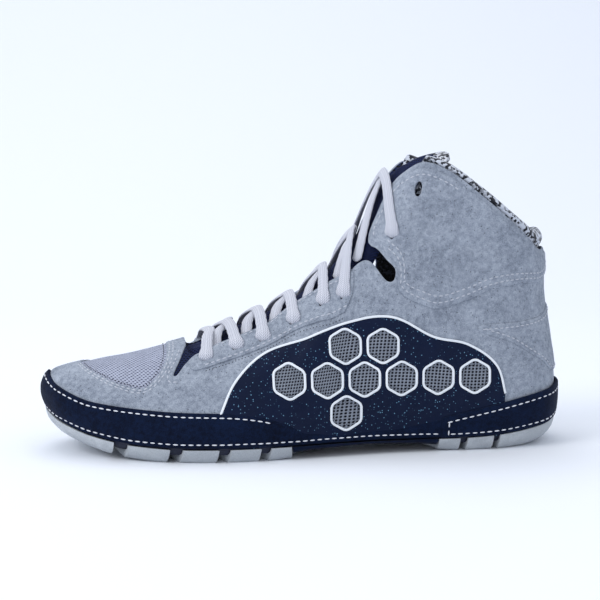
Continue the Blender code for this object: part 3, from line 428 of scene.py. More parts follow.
def relief(p: Array, v: Array) -> Array:
    """Height of folds, embossing and padding of the upper at outer stations."""
    at = FLAT.flat(list(zip(p, v)))
    out = np.zeros(len(at))
    for crease in CREASES:
        sharp = crease.width < 0.002
        line = FLAT.flat(crease.line) if sharp else FLAT.stroke(crease.line, 0.004)
        near = from_line(at, line)
        ends = np.minimum(np.linalg.norm(at - line[0], axis=1), np.linalg.norm(at - line[-1], axis=1))
        fade = np.minimum(1.0, ends / (4 * crease.width))
        out -= crease.depth * np.exp(-((near / crease.width) ** 2)) * fade
    roll = smoothstep((v - 0.80) / 0.12) * (1 - smoothstep((v - 0.93) / 0.09))
    out += 0.0006 * roll * (1 - smoothstep((p - 4.2) / 0.8))
    out += 0.00022 * np.sin(at[:, 0] * 240 + 1.5 * np.sin(at[:, 1] * 170)) * np.sin(at[:, 1] * 210 + 0.6)
    return out


def arc_of(p: Array, v: Array) -> Array:
    """Length along the section from the feather edge to a share."""
    total = np.zeros(len(p))
    before = LAST.point(p, np.zeros(len(p)))
    for share in np.linspace(0, 1, 13)[1:]:
        here = LAST.point(p, v * share)
        total += np.linalg.norm(here - before, axis=1)
        before = here
    return total


def new_object(name: str, bm: BMesh, materials: Sequence[Material]) -> Piece:
    """Turns a bmesh into a smooth shaded object of the scene."""
    name = f"{name}_dressed" if name in bpy.data.objects else name
    mesh = bpy.data.meshes.new(name)
    bm.to_mesh(mesh)
    bm.free()
    for material in materials:
        mesh.materials.append(material)
    mesh.shade_smooth()
    mesh.set_sharp_from_angle(angle=math.radians(50))
    piece = bpy.data.objects.new(name, mesh)
    bpy.context.scene.collection.objects.link(piece)
    return piece


def closed_object(name: str, bm: BMesh, materials: Sequence[Material]) -> Piece:
    """New object whose faces are turned outwards first."""
    bmesh.ops.recalc_face_normals(bm, faces=bm.faces)
    return new_object(name, bm, materials)


def picked(geom: Sequence[object], kind: type) -> list:
    """Members of one kind among an operator's results."""
    return [g for g in geom if isinstance(g, kind)]


def linked(verts: Sequence[bmesh.types.BMVert], links: str) -> list:
    """Edges or faces of vertices, each once, in the order found."""
    return list(dict.fromkeys(x for vert in verts for x in getattr(vert, links)))


def free_edges(bm: BMesh) -> list[bmesh.types.BMEdge]:
    """Edges with one face."""
    return [e for e in bm.edges if e.is_boundary]


def placed(piece: Piece, slot: Finish, *nodes: str) -> Piece:
    """Seats a piece on the shoe's body, in place of CAD nodes."""
    if nodes:
        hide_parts(*nodes)
    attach(piece, "root")
    LOG.info("%s: %d faces", piece.name, len(piece.data.polygons))
    return piece


@dataclass
class Panel:
    """A layer of the upper, cut flat, wrapped on the last and given its thickness.

    The outline and holes are plane curves. top and bottom are lifts off the last, rim the
    width of the rounded edge and drop how far it falls. inner gives a second skin.
    """

    name: str
    outline: Array
    materials: Sequence[Material]
    holes: Sequence[Array] = ()
    top: float = 0.00115
    bottom: float = 0.0
    rim: float = 0.00055
    drop: float = 0.00035
    cell: float = 0.0015
    folds: float = 1.0
    inner: bool = False
    sides: Sequence[Side] = (Side.LATERAL, Side.MEDIAL)

    def flat_mesh(self) -> BMesh:
        """Fills the outline, adds the rounded edge's ring and cuts the rest in cells."""
        bm = bmesh.new()
        edges = []
        for loop in (self.outline, *self.holes):
            ring = [bm.verts.new((x, y, 0)) for x, y in loop]
            edges += [bm.edges.new(pair) for pair in zip(ring, ring[1:] + ring[:1])]
        bmesh.ops.triangle_fill(bm, use_beauty=True, edges=edges, normal=(0, 0, 1))
        bmesh.ops.recalc_face_normals(bm, faces=bm.faces)
        if sum(f.normal.z for f in bm.faces) < 0:
            bmesh.ops.reverse_faces(bm, faces=bm.faces)
        if self.rim:
            bmesh.ops.inset_region(
                bm, faces=bm.faces, thickness=self.rim, use_even_offset=True, use_boundary=True
            )
        edge = bm.verts.layers.float.new("rim")
        for vert in bm.verts:
            vert[edge] = 1.0 if vert.is_boundary else 0.0
        low = Vector(np.min([v.co for v in bm.verts], axis=0))
        high = Vector(np.max([v.co for v in bm.verts], axis=0))
        end = float(FLAT.flat([(TOE, 0)])[0, 0])
        for co, no in (((0, 0, 0), (-1, 0, 0)), ((end, 0, 0), (1, 0, 0)), ((0, FLAT.tall, 0), (0, 1, 0))):
            self.slice(bm, Vector(co), Vector(no), True)
        for axis in (0, 1):
            count = int((high[axis] - low[axis]) / self.cell)
            for k in range(1, count + 1):
                co, no = Vector((0, 0, 0)), Vector((0, 0, 0))
                co[axis] = low[axis] + k * (high[axis] - low[axis]) / (count + 1)
                no[axis] = 1
                self.slice(bm, co, no, False)
        bmesh.ops.remove_doubles(bm, verts=bm.verts, dist=0.00004)
        return bm

    @staticmethod
    def slice(bm: BMesh, co: Vector, no: Vector, clear: bool) -> None:
        """Cuts the flat mesh along a line, and clears what lies beyond it if asked."""
        geom = bm.verts[:] + bm.edges[:] + bm.faces[:]
        bmesh.ops.bisect_plane(bm, geom=geom, dist=2e-5, plane_co=co, plane_no=no, clear_outer=clear)

    def build(self) -> Piece:
        """Wraps the cut panel on its sides, welds them and adds the walls.

        Returns:
            The panel's object.
        """
        flat = self.flat_mesh()
        mesh = bpy.data.meshes.new(self.name)
        flat.to_mesh(mesh)
        flat.free()
        at = np.array([v.co for v in mesh.vertices])
        rim = np.array([d.value for d in mesh.attributes["rim"].data])
        p, v = FLAT.spots(at)
        fold = relief(p, v) * self.folds
        u, w = at[:, 0] * 1000, arc_of(p, v) * 1000
        bm = bmesh.new()
        layers = [bm.verts.layers.float.new(n) for n in ("station", "share", "along", "across")]
        for skin in (0, 1) if self.inner else (0,):
            for side in self.sides:
                first = len(bm.verts)
                faces = len(bm.faces)
                bm.from_mesh(mesh)
                lift = self.bottom + fold if skin else self.top + fold - rim * self.drop
                where = LAST.on_side(p, side)
                spots = LAST.lifted(where, v, lift)
                bm.verts.ensure_lookup_table()
                bm.faces.ensure_lookup_table()
                for k in range(len(at)):
                    vert = bm.verts[first + k]
                    vert.co = spots[k]
                    for layer, value in zip(layers, (where[k], v[k], u[k], w[k])):
                        vert[layer] = value
                new = bm.faces[faces:]
                for face in new:
                    face.material_index = skin if len(self.materials) > 1 else 0
                if (side is Side.MEDIAL) != bool(skin):
                    bmesh.ops.reverse_faces(bm, faces=new)
        bpy.data.meshes.remove(mesh)
        bmesh.ops.remove_doubles(bm, verts=bm.verts, dist=WELD)
        self.close(bm, layers)
        return closed_object(self.name, bm, self.materials)

    def close(self, bm: BMesh, layers: Sequence[bmesh.types.BMLayerItem]) -> None:
        """Adds the walls along free edges, down to the inner skin or the lower lift."""
        border = free_edges(bm)
        if self.inner:
            border = [e for e in border if e.link_faces[0].material_index == 0]
        grown = bmesh.ops.extrude_edge_only(bm, edges=border)
        moved = picked(grown["geom"], bmesh.types.BMVert)
        p = np.array([vert[layers[0]] for vert in moved])
        v = np.array([vert[layers[1]] for vert in moved])
        fold = relief(LAST.mirrored(p), v) * self.folds if self.inner else 0.0
        for vert, co in zip(moved, LAST.lifted(p, v, self.bottom + fold)):
            vert.co = co
        if self.inner:
            bmesh.ops.remove_doubles(bm, verts=bm.verts, dist=WELD)


@dataclass
class Stitching:
    """Rows of thread dashes that become one joined mesh."""

    name: str
    material: Material
    length: float = 0.0021
    gap: float = 0.0011
    radius: float = 0.00038
    flatness: float = 0.8
    spots: list[Array] = field(default_factory=list)

    def row(self, curve: Array, lift: float, sides: Sequence[Side] = tuple(Side)) -> None:
        """Sews along a plane curve at a lift."""
        for side in sides:
            p, v = FLAT.spots(curve)
            fold = relief(p, v)
            p = LAST.on_side(p, side)
            self.dashes(LAST.lifted(p, v, lift + fold), LAST.normal(p, v))

    def dashes(self, path: Array, out: Array) -> None:
        """Places dashes along a path whose points have outward normals."""
        both = resampled(np.concatenate([path, out], axis=1), (self.length + self.gap) / 2, smooth=False)
        for k in range(0, len(both) - 1, 2):
            a, b = both[k, :3], both[k + 1, :3]
            along = (b - a) / np.linalg.norm(b - a)
            across = np.cross(both[k, 3:], along)
            across /= np.linalg.norm(across)
            thick = np.cross(along, across) * self.radius * self.flatness
            turn = (across * self.radius, thick, along * self.length / 2, (a + b) / 2)
            self.spots.append(np.stack(turn))

    def build(self) -> Piece:
        """Makes one dash and joins a copy of it at every place."""
        dash = bmesh.new()
        bmesh.ops.create_uvsphere(dash, u_segments=6, v_segments=5, radius=1)
        shape = np.array([(*v.co, 1.0) for v in dash.verts])
        dash.verts.index_update()
        faces = [[v.index for v in f.verts] for f in dash.faces]
        dash.free()
        places = np.concatenate([shape @ spot for spot in self.spots])
        joined = [[i + k * len(shape) for i in face] for k in range(len(self.spots)) for face in faces]
        mesh = bpy.data.meshes.new(self.name)
        mesh.from_pydata(places.tolist(), [], joined)
        bm = bmesh.new()
        bm.from_mesh(mesh)
        bpy.data.meshes.remove(mesh)
        return new_object(self.name, bm, [self.material])


def sweep(
    target: BMesh,
    path: Array,
    out: Array,
    widths: Array,
    depths: Array,
    closed: bool = False,
    segments: int = 8,
) -> None:
    """Carries an oval along a path and bridges its rings.

    Args:
        target: mesh that the tube is added to.
        path: middle of the tube.
        out: direction of the oval's short axis at each point.
        widths: half width at each point.
        depths: half depth at each point.
        closed: join the last ring to the first.
        segments: corners of a ring.
    """
    bm = bmesh.new()
    across_layer, along_layer = (bm.verts.layers.float.new(name) for name in ("across", "along"))
    rings = []
    way = 0.0
    last = len(path) - 1
    for k, middle in enumerate(path):
        before = path[(k - 1) % len(path)] if closed else path[max(k - 1, 0)]
        after = path[(k + 1) % len(path)] if closed else path[min(k + 1, last)]
        along = Vector(after - before).normalized()
        up = Vector(out[k])
        across = along.cross(up).normalized()
        up = across.cross(along).normalized()
        turn = Matrix((across, up, along)).transposed().to_4x4()
        turn.translation = Vector(middle)
        size = Matrix.Diagonal((widths[k], depths[k], 1, 1))
        made = bmesh.ops.create_circle(bm, segments=segments, radius=1, matrix=turn @ size)["verts"]
        if k:
            way += float(np.linalg.norm(middle - path[k - 1]))
        for vert in made:
            vert[across_layer] = (vert.co - Vector(middle)).dot(across) * 1000
            vert[along_layer] = way * 1000
        rings.append(linked(made, "link_edges"))
    pairs = list(zip(rings, rings[1:])) + ([(rings[-1], rings[0])] if closed else [])
    for a, b in pairs:
        bmesh.ops.bridge_loops(bm, edges=a + b)
    if not closed:
        for ring in (rings[0], rings[-1]):
            bmesh.ops.edgeloop_fill(bm, edges=ring)
    mesh = bpy.data.meshes.new("sweep")
    bm.to_mesh(mesh)
    bm.free()
    target.from_mesh(mesh)
    bpy.data.meshes.remove(mesh)


def piping(
    name: str, loops: Sequence[Array], lift: float, radius: float, material: Material,
    sides: Sequence[Side] = tuple(Side), closed: bool = True,
) -> Piece:
    """Thin cord of trim along plane curves.

    Args:
        name: the piece's name.
        loops: plane curves.
        lift: lift of the cord's middle off the last.
        radius: of the cord.
        material: of the cord.
        sides: sides that carry it.
        closed: the curves are closed.

    Returns:
        The object.
    """
    bm = bmesh.new()
    for side in sides:
        for loop in loops:
            p, v = FLAT.spots(loop)
            fold = relief(p, v)
            p = LAST.on_side(p, side)
            size = np.full(len(loop), radius)
            sweep(bm, LAST.lifted(p, v, lift + fold), LAST.normal(p, v), size, size * 0.8, closed, 6)
    return closed_object(name, bm, [material])


class Graph:
    """Short forms for building one node tree."""

    def __init__(self, tree: bpy.types.NodeTree) -> None:
        """Keeps the tree."""
        self.tree = tree

    def node(self, kind: str, inputs: dict | None = None, **settings: object) -> Node:
        """Adds a node with its settings, and links or sets its inputs."""
        made = self.tree.nodes.new(kind)
        for key, value in settings.items():
            setattr(made, key, value)
        for key, value in (inputs or {}).items():
            if isinstance(value, Socket):
                self.tree.links.new(value, made.inputs[key])
            else:
                made.inputs[key].default_value = value
        return made

    def feed(self, value: Socket, node: Node, socket: str) -> None:
        """Links a value to a named input."""
        self.tree.links.new(value, node.inputs[socket])

    def math(self, operation: str, a: object, b: object = 0.0) -> Socket:
        """Result of a Math node."""
        return self.node("ShaderNodeMath", {0: a, 1: b}, operation=operation).outputs[0]

    def plus(self, a: object, b: object) -> Socket:
        """Sum of two values."""
        return self.math("ADD", a, b)

    def times(self, a: object, b: object) -> Socket:
        """Product of two values."""
        return self.math("MULTIPLY", a, b)

    def mix(self, share: object, a: object, b: object) -> Socket:
        """Blend of two colours."""
        made = self.node("ShaderNodeMix", {0: share, 6: a, 7: b}, data_type="RGBA")
        return made.outputs[2]

    def ramp(
        self, value: object, start: float, end: float, low: float = 0.0, high: float = 1.0
    ) -> Socket:
        """Soft step of a value from start to end."""
        inputs = {"Value": value, "From Min": start, "From Max": end, "To Min": low, "To Max": high}
        return self.node("ShaderNodeMapRange", inputs, interpolation_type="SMOOTHSTEP").outputs[0]

    def noise(self, scale: object, detail: float = 3.0, rough: float = 0.55) -> Socket:
        """Noise value on Object coordinates."""
        place = self.node("ShaderNodeTexCoord").outputs["Object"]
        inputs = {"Vector": place, "Scale": scale, "Detail": detail, "Roughness": rough}
        return self.node("ShaderNodeTexNoise", inputs).outputs[0]

    def cells(self, scale: float) -> Node:
        """Voronoi cells on Object coordinates."""
        place = self.node("ShaderNodeTexCoord").outputs["Object"]
        return self.node("ShaderNodeTexVoronoi", {"Vector": place, "Scale": scale})

    def red(self, colour: Socket) -> Socket:
        """Red part of a colour, a random number of a cell."""
        return self.node("ShaderNodeSeparateColor", {0: colour}).outputs[0]

    def attribute(self, name: str) -> Socket:
        """Value of a float attribute of the piece."""
        return self.node("ShaderNodeAttribute", attribute_name=name).outputs["Fac"]


def new_group(
    name: str, inputs: dict[str, float], outputs: Sequence[str]
) -> tuple[Graph, Node, Node]:
    """Starts a shader node group with number sockets.

    Args:
        name: of the group.
        inputs: names and starting values.
        outputs: names.

    Returns:
        Its graph, group input and group output.
    """
    tree = bpy.data.node_groups.new(name, "ShaderNodeTree")
    for key, value in inputs.items():
        tree.interface.new_socket(key, in_out="INPUT", socket_type="NodeSocketFloat").default_value = value
    for key in outputs:
        tree.interface.new_socket(key, in_out="OUTPUT", socket_type="NodeSocketFloat")
    graph = Graph(tree)
    return graph, graph.node("NodeGroupInput"), graph.node("NodeGroupOutput")


def nap_group() -> bpy.types.NodeTree:
    """Fibres, brushed patches and pores of suede: tone and height."""
    g, given, out = new_group("nap", {"Fine": 2600.0, "Patch": 70.0}, ("Tone", "Height", "Pores"))
    fine = g.noise(given.outputs["Fine"], 2.0, 0.6)
    patch = g.noise(given.outputs["Patch"], 4.0, 0.6)
    middle = g.noise(420.0, 3.0, 0.6)
    tone = g.plus(g.times(patch, 0.22), g.times(middle, 0.33))
    g.feed(g.plus(tone, g.times(fine, 0.45)), out, "Tone")
    height = g.plus(fine, g.times(middle, 0.8))
    g.feed(height, out, "Height")
    g.feed(g.ramp(g.cells(420.0).outputs["Distance"], 0.10, 0.16, 1.0, 0.0), out, "Pores")
    return g.tree


def weave_group() -> bpy.types.NodeTree:
    """Regular openings of a mesh cloth in the piece's own millimetres: openings and height."""
    g, given, out = new_group(
        "openings", {"Along": 2.0, "Across": 1.6, "Size": 0.5, "Shift": 0.5}, ("Opening", "Height")
    )
    u = g.math("DIVIDE", g.attribute("along"), given.outputs["Along"])
    w = g.math("DIVIDE", g.attribute("across"), given.outputs["Across"])
    row = g.math("FLOOR", w)
    u = g.plus(u, g.times(g.math("MODULO", row, 2.0), given.outputs["Shift"]))
    from_middle = [g.math("ABSOLUTE", g.math("SUBTRACT", g.math("FRACT", x), 0.5)) for x in (u, w)]
    far = g.math("SMOOTH_MAX", from_middle[0], from_middle[1])
    size = g.times(given.outputs["Size"], 0.5)
    inside = g.math("SUBTRACT", size, far)
    g.feed(g.ramp(inside, -0.03, 0.04), out, "Opening")
    g.feed(g.ramp(inside, -0.2, 0.05, 1.0, 0.0), out, "Height")
    return g.tree


def dust_group() -> bpy.types.NodeTree:
    """Soft patches of wear and dust."""
    g, given, out = new_group("wear", {"Scale": 28.0, "Amount": 0.5}, ("Mask",))
    patch = g.noise(given.outputs["Scale"], 5.0, 0.7)
    soft = g.ramp(patch, 0.45, 0.75)
    g.feed(g.times(soft, given.outputs["Amount"]), out, "Mask")
    return g.tree


GROUPS = {"nap": nap_group(), "openings": weave_group(), "wear": dust_group()}
Colour = tuple[float, float, float, float]


def grey(r: float, g: float, b: float) -> Colour:
    """Linear colour from 0 to 255 display values."""
    return (*((x / 255) ** 2.2 for x in (r, g, b)), 1.0)


def shaded(colour: Colour, factor: float) -> Colour:
    """The colour times a factor."""
    return (*(x * factor for x in colour[:3]), 1.0)


@dataclass(frozen=True)
class Coating:
    """Start of a finish: makes the material, its shader and the group nodes."""

    name: str

    def start(self, roughness: float, **sockets: float) -> tuple[Material, Graph, Node]:
        """New material with its shader's plain sockets set."""
        material = bpy.data.materials.new(self.name)
        material.use_nodes = True
        shader = material.node_tree.nodes["Principled BSDF"]
        shader.inputs["Roughness"].default_value = roughness
        for key, value in sockets.items():
            shader.inputs[key.replace("_", " ")].default_value = value
        return material, Graph(material.node_tree), shader

    @staticmethod
    def group(g: Graph, name: str, **inputs: float) -> Node:
        """Places a shared effect with its own values."""
        made = g.node("ShaderNodeGroup", node_tree=GROUPS[name])
        for key, value in inputs.items():
            made.inputs[key].default_value = value
        return made

    @staticmethod
    def bump(
        g: Graph, shader: Node, height: Socket, strength: float, distance: float
    ) -> None:
        """Feeds a height to the shader's normal."""
        inputs = {"Height": height, "Strength": strength, "Distance": distance}
        g.feed(g.node("ShaderNodeBump", inputs).outputs[0], shader, "Normal")


@dataclass(frozen=True)
class Suede(Coating):
    """Brushed leather: dark and light of its nap, pores and sheen."""

    dark: Colour
    light: Colour
    pores: float = 0.5
    sheen: float = 0.25
    bump_size: float = 0.00025

    def build(self) -> Material:
        """Makes the material."""
        material, g, shader = self.start(
            0.92, Sheen_Weight=self.sheen, Sheen_Roughness=0.45, Specular_IOR_Level=0.12
        )
        nap = self.group(g, "nap")
        colour = g.mix(g.ramp(nap.outputs["Tone"], 0.34, 0.66), self.dark, self.light)
        worn = self.group(g, "wear", Scale=22.0, Amount=0.25)
        colour = g.mix(worn.outputs["Mask"], colour, self.light)
        pores = g.times(nap.outputs["Pores"], self.pores)
        colour = g.mix(pores, colour, shaded(self.dark, 0.25))
        g.feed(colour, shader, "Base Color")
        self.bump(g, shader, nap.outputs["Height"], 0.55, self.bump_size)
        return material


@dataclass(frozen=True)
class MeshCloth(Coating):
    """Cloth with rows of small openings over a darker ground."""

    thread: Colour
    opening: Colour
    pitch: tuple[float, float] = (2.0, 1.6)
    size: float = 0.5
    shift: float = 0.5
    roughness: float = 0.9

    def build(self) -> Material:
        """Makes the material."""
        material, g, shader = self.start(self.roughness, Sheen_Weight=0.03, Specular_IOR_Level=0.15)
        holes = self.group(
            g, "openings", Along=self.pitch[0], Across=self.pitch[1], Size=self.size, Shift=self.shift
        )
        nap = self.group(g, "nap", Fine=3000.0)
        thread = g.mix(g.ramp(nap.outputs["Tone"], 0.35, 0.65), shaded(self.thread, 0.72), self.thread)
        g.feed(g.mix(holes.outputs["Opening"], thread, self.opening), shader, "Base Color")
        height = g.plus(holes.outputs["Height"], g.times(nap.outputs["Height"], 0.12))
        self.bump(g, shader, height, 0.8, 0.0005)
        return material


@dataclass(frozen=True)
class Glitter(Coating):
    """Smooth dark print with fine bright flecks."""

    ground: Colour
    fleck: Colour
    share: float = 0.5

    def build(self) -> Material:
        """Makes the material."""
        material, g, shader = self.start(0.5, Specular_IOR_Level=0.15)
        cells = g.cells(900.0)
        spot = g.ramp(cells.outputs["Distance"], 0.20, 0.30, 1.0, 0.0)
        pick = g.ramp(g.red(cells.outputs["Color"]), 1 - self.share, 1.0)
        flecks = g.times(spot, pick)
        patch = g.mix(g.noise(60.0), self.ground, shaded(self.ground, 1.7))
        g.feed(g.mix(flecks, patch, self.fleck), shader, "Base Color")
        g.feed(g.ramp(g.noise(300.0), 0.3, 0.7, 0.45, 0.65), shader, "Roughness")
        self.bump(g, shader, g.plus(flecks, g.noise(1500.0)), 0.3, 0.0001)
        return material


@dataclass(frozen=True)
class Rubber(Coating):
    """Moulded rubber with a fine matt grain and dust."""

    dark: Colour
    light: Colour
    roughness: float = 0.55
    coat: float = 0.1

    def build(self) -> Material:
        """Makes the material."""
        material, g, shader = self.start(self.roughness, Coat_Weight=self.coat, Coat_Roughness=0.4)
        worn = self.group(g, "wear", Scale=45.0, Amount=0.7)
        colour = g.mix(worn.outputs["Mask"], self.dark, self.light)
        colour = g.mix(g.ramp(g.noise(1800.0, 2.0), 0.35, 0.65, 0.0, 0.25), colour, self.light)
        g.feed(colour, shader, "Base Color")
        rough = g.ramp(g.noise(90.0), 0.3, 0.7, self.roughness - 0.08, self.roughness + 0.12)
        g.feed(rough, shader, "Roughness")
        self.bump(g, shader, g.noise(1600.0, 3.0), 0.35, 0.0002)
        return material


@dataclass(frozen=True)
class Mottle(Coating):
    """Knit of black and white yarn in small irregular stitches."""

    dark: Colour
    light: Colour
    scale: float = 900.0
    share: float = 0.5

    def build(self) -> Material:
        """Makes the material."""
        material, g, shader = self.start(0.95, Sheen_Weight=0.2)
        cells = g.cells(self.scale)
        tone = g.red(cells.outputs["Color"])
        tone = g.plus(g.times(tone, 0.6), g.times(g.noise(130.0, 3.0), 0.4))
        mask = g.ramp(tone, self.share - 0.08, self.share + 0.08)
        g.feed(g.mix(mask, self.dark, self.light), shader, "Base Color")
        height = g.math("SUBTRACT", 1.0, cells.outputs["Distance"])
        self.bump(g, shader, height, 0.7, 0.0006)
        return material


@dataclass(frozen=True)
class Woven(Coating):
    """Flat woven lace or thread: ribs that lean across it, with painted shade in the low parts between them.
    """

    colour: Colour
    shade: Colour
    pitch: float = 1.0
    lean: float = 0.5

    def build(self) -> Material:
        """Makes the material."""
        material, g, shader = self.start(0.85, Sheen_Weight=0.3)
        across = g.math("ABSOLUTE", g.attribute("across"))
        way = g.plus(g.attribute("along"), g.times(across, self.lean))
        wave = g.math("SINE", g.times(way, 2 * math.pi / self.pitch))
        rows = g.math("SINE", g.times(across, 2 * math.pi / (self.pitch * 0.9)))
        height = g.plus(g.times(wave, 0.5), g.times(rows, 0.35))
        fuzz = g.noise(2200.0)
        stray = g.times(g.math("SUBTRACT", fuzz, 0.5), 0.6)
        # Painted shade: where the ribs are low the colour turns to the shade colour, where they are high to
        # the thread's colour
        tone = g.plus(g.ramp(height, -0.7, 0.5), stray)
        g.feed(g.mix(tone, self.shade, self.colour), shader, "Base Color")
        self.bump(g, shader, g.plus(height, fuzz), 0.6, 0.00025)
        return material


class Finishes:
    """Every material of the shoe, made once."""

    def __init__(self) -> None:
        """Builds the materials."""
        self.grey = Suede("grey_suede", grey(104, 112, 126), grey(162, 170, 183), 0.7, 0.05).build()
        self.band = Suede("grey_smooth", grey(168, 172, 180), grey(196, 199, 206), 0.0, 0.1).build()
        self.navy = Suede("navy_suede", grey(6, 13, 28), grey(20, 33, 58), 0.0, 0.03).build()
        self.print = Glitter("navy_print", grey(5, 20, 42), grey(105, 150, 180), 0.4).build()
        self.white = Rubber("white_piping", grey(216, 222, 230), grey(240, 242, 246), 0.5).build()
        self.rubber = Rubber("grey_rubber", grey(152, 158, 165), grey(198, 203, 208)).build()
        self.foam = Rubber("navy_foam", grey(18, 25, 47), grey(36, 44, 70), 0.6, 0.0).build()
        self.knit = Mottle("mottled_knit", grey(26, 28, 38), grey(196, 200, 210), 800.0, 0.52).build()
        self.collar = Mottle("collar_knit", grey(20, 24, 36), grey(188, 194, 206), 620.0, 0.52).build()
        self.sock = Mottle("sock_knit", grey(28, 30, 38), grey(120, 124, 134), 800.0, 0.55).build()
        self.tongue = MeshCloth("navy_mesh", grey(30, 42, 82), grey(4, 6, 16), (1.9, 1.4), 0.6).build()
        self.base = MeshCloth("base_mesh", grey(26, 38, 72), grey(5, 8, 18), (1.8, 1.4), 0.6).build()
        self.lining = Mottle("lining_cloth", grey(20, 22, 32), grey(60, 64, 80), 900.0, 0.6).build()
        self.toe_mesh = MeshCloth(
            "toe_mesh", grey(176, 182, 202), grey(62, 68, 90), (2.2, 1.15), 0.52
        ).build()
        self.window_mesh = MeshCloth(
            "window_mesh", grey(140, 147, 160), grey(14, 16, 26), (2.0, 1.7), 0.66, 0.0
        ).build()
        # The second colour of each woven finish is painted shade for the low parts between its ribs
        self.lace = Woven("grey_lace", grey(206, 208, 218), grey(150, 154, 168), 1.1, 0.9).build()
        self.thread_grey = Woven("grey_thread", grey(190, 194, 204), grey(150, 155, 168), 0.5).build()
        self.thread_white = Woven("white_thread", grey(226, 228, 234), grey(180, 184, 196), 0.5).build()
        self.thread_dark = Woven("dark_thread", grey(40, 44, 60), grey(20, 22, 32), 0.5).build()


# Strokes of the panels' edges on the outer side, as (station, share of the section). Panels run
# from HEEL_END to TOE_END, past the shoe's middle, and are cut off there; OVER lies past the ridge.
HEEL_END, TOE_END, OVER = -0.4, 14.4, 1.2
COLLAR_EDGE = 0.996
VAMP_EDGE = [(10.04, OVER), (10.04, 1.0), (10.01, 0.84)]
THROAT = [
    (9.79, 0.690), (9.39, 0.719), (8.90, 0.719), (8.48, 0.731), (8.06, 0.785), (7.57, 0.744),
    (6.95, 0.665), (6.47, 0.594),
]
SLOT = [
    (6.47, 0.594), (6.1, 0.578), (5.21, 0.562), (4.99, 0.572), (4.93, 0.594), (4.99, 0.616),
    (5.3, 0.622), (5.89, 0.622),
]
FLAP = [
    (5.89, 0.622), (6.02, 0.638), (6.05, 0.675), (5.89, 0.738), (5.68, 0.831), (5.42, 0.913),
    (5.11, 0.963), (4.80, 0.988), (4.4, COLLAR_EDGE),
]
CUFF_LOW = [
    (HEEL_END, 0.905), (0.28, 0.895), (1.3, 0.825), (2.45, 0.713), (3.18, 0.606), (3.76, 0.538),
    (4.23, 0.532), (4.62, 0.54),
]
CUFF_SLOT = [(4.62, 0.54), (4.82, 0.562), (4.86, 0.60), (4.98, 0.634), (5.3, 0.640), (5.84, 0.641)]
CUFF_FLAP = [
    (5.84, 0.641), (5.95, 0.655), (5.97, 0.685), (5.80, 0.745), (5.60, 0.825), (5.34, 0.898), (5.04, 0.944),
    (4.75, 0.966), (4.4, 0.975), (3.6, 0.978), (HEEL_END, 0.978),
]
COUNTER_LOW = [(HEEL_END, 0.37), (0.7, 0.38), (1.1, 0.44), (1.94, 0.50), (2.7, 0.515), (2.84, 0.527)]
COUNTER_TOP = [(2.84, 0.527), (2.7, 0.545), (1.9, 0.602), (1.0, 0.682), (0.23, 0.731), (HEEL_END, 0.733)]
STAY_TOP = [
    (9.74, 0.680), (9.39, 0.709), (8.90, 0.709), (8.48, 0.721), (8.06, 0.773), (7.57, 0.734),
    (6.95, 0.655), (6.52, 0.592),
]
STAY_REAR = [(6.52, 0.592), (6.36, 0.56), (6.28, 0.48), (6.42, 0.44)]
STAY_LOW = [(6.42, 0.44), (6.9, 0.475), (7.4, 0.525), (7.9, 0.565), (8.4, 0.555), (9.0, 0.548), (9.6, 0.545)]
STAY_FRONT = [(9.6, 0.545), (9.86, 0.56), (9.88, 0.63), (9.74, 0.680)]
TOE_PATCH = [
    (10.39, 1.12), (10.38, 0.96), (10.37, 0.80), (10.44, 0.65), (10.62, 0.54), (10.80, 0.486), (10.98, 0.484),
    (11.25, 0.522), (11.61, 0.594), (12.1, 0.76), (12.42, 0.94), (12.5, 1.12),
]
EYELETS = [(9.60, 0.625), (9.04, 0.630), (8.54, 0.620), (7.95, 0.640), (7.28, 0.610), (6.62, 0.535)]
FLAP_EYELETS = [(5.23, 0.720), (4.72, 0.894)]
# Upper edge of the cage from toe to heel, as shares of the length along the run and of the height
CAGE_TOP = [
    (0.672, 0.150), (0.640, 0.262), (0.588, 0.345), (0.510, 0.395), (0.430, 0.452), (0.350, 0.470),
    (0.270, 0.400), (0.205, 0.372), (0.150, 0.300), (0.132, 0.200),
]
# Honeycomb of the cage: corner radius and pitch in metres, middle in the same shares
HEX_RADIUS = 0.0094
HEX_PITCH = 0.0200
CAGE_CENTRE = (0.402, 0.262)


def outline(*strokes: Spots) -> Array:
    """Closed plane outline from strokes that meet at sharp corners."""
    return np.concatenate([FLAT.stroke(stroke)[:-1] for stroke in strokes])


def straight(a: Array, b: Array) -> Array:
    """Points between two plane points, at the spacing of an edge."""
    return resampled(np.stack([a, b]), EDGE_STEP, False)[1:-1]


def offset(curve: Array, distance: float) -> Array:
    """Plane curve moved to its left by a distance."""
    way = np.gradient(curve, axis=0)
    way /= np.maximum(np.linalg.norm(way, axis=1), 1e-9)[:, None]
    return curve + np.stack([-way[:, 1], way[:, 0]], axis=1) * distance


def hole(spot: tuple[float, float], radius: float) -> Array:
    """Round plane hole at a station and share."""
    turn = np.linspace(0, 2 * math.pi, 25)[:-1]
    return FLAT.flat([spot]) + radius * np.stack([np.cos(turn), np.sin(turn)], axis=1)


def within(loop: Array, spots: Array) -> Array:
    """Which points lie inside a closed loop."""
    inside = np.zeros(len(spots), bool)
    x, y = spots[:, 0], spots[:, 1]
    for a, b in zip(loop, np.roll(loop, -1, axis=0)):
        cross = (a[1] > y) != (b[1] > y)
        high = b[1] - a[1] if b[1] != a[1] else 1e-9
        inside ^= cross & (x < (b[0] - a[0]) * (y - a[1]) / high + a[0])
    return inside


def scaled_about(loop: Array, extra: float) -> Array:
    """Closed plane loop whose points move away from its middle by a distance."""
    middle = loop.mean(axis=0)
    arm = loop - middle
    return middle + arm * (1 + extra / np.linalg.norm(arm, axis=1))[:, None]


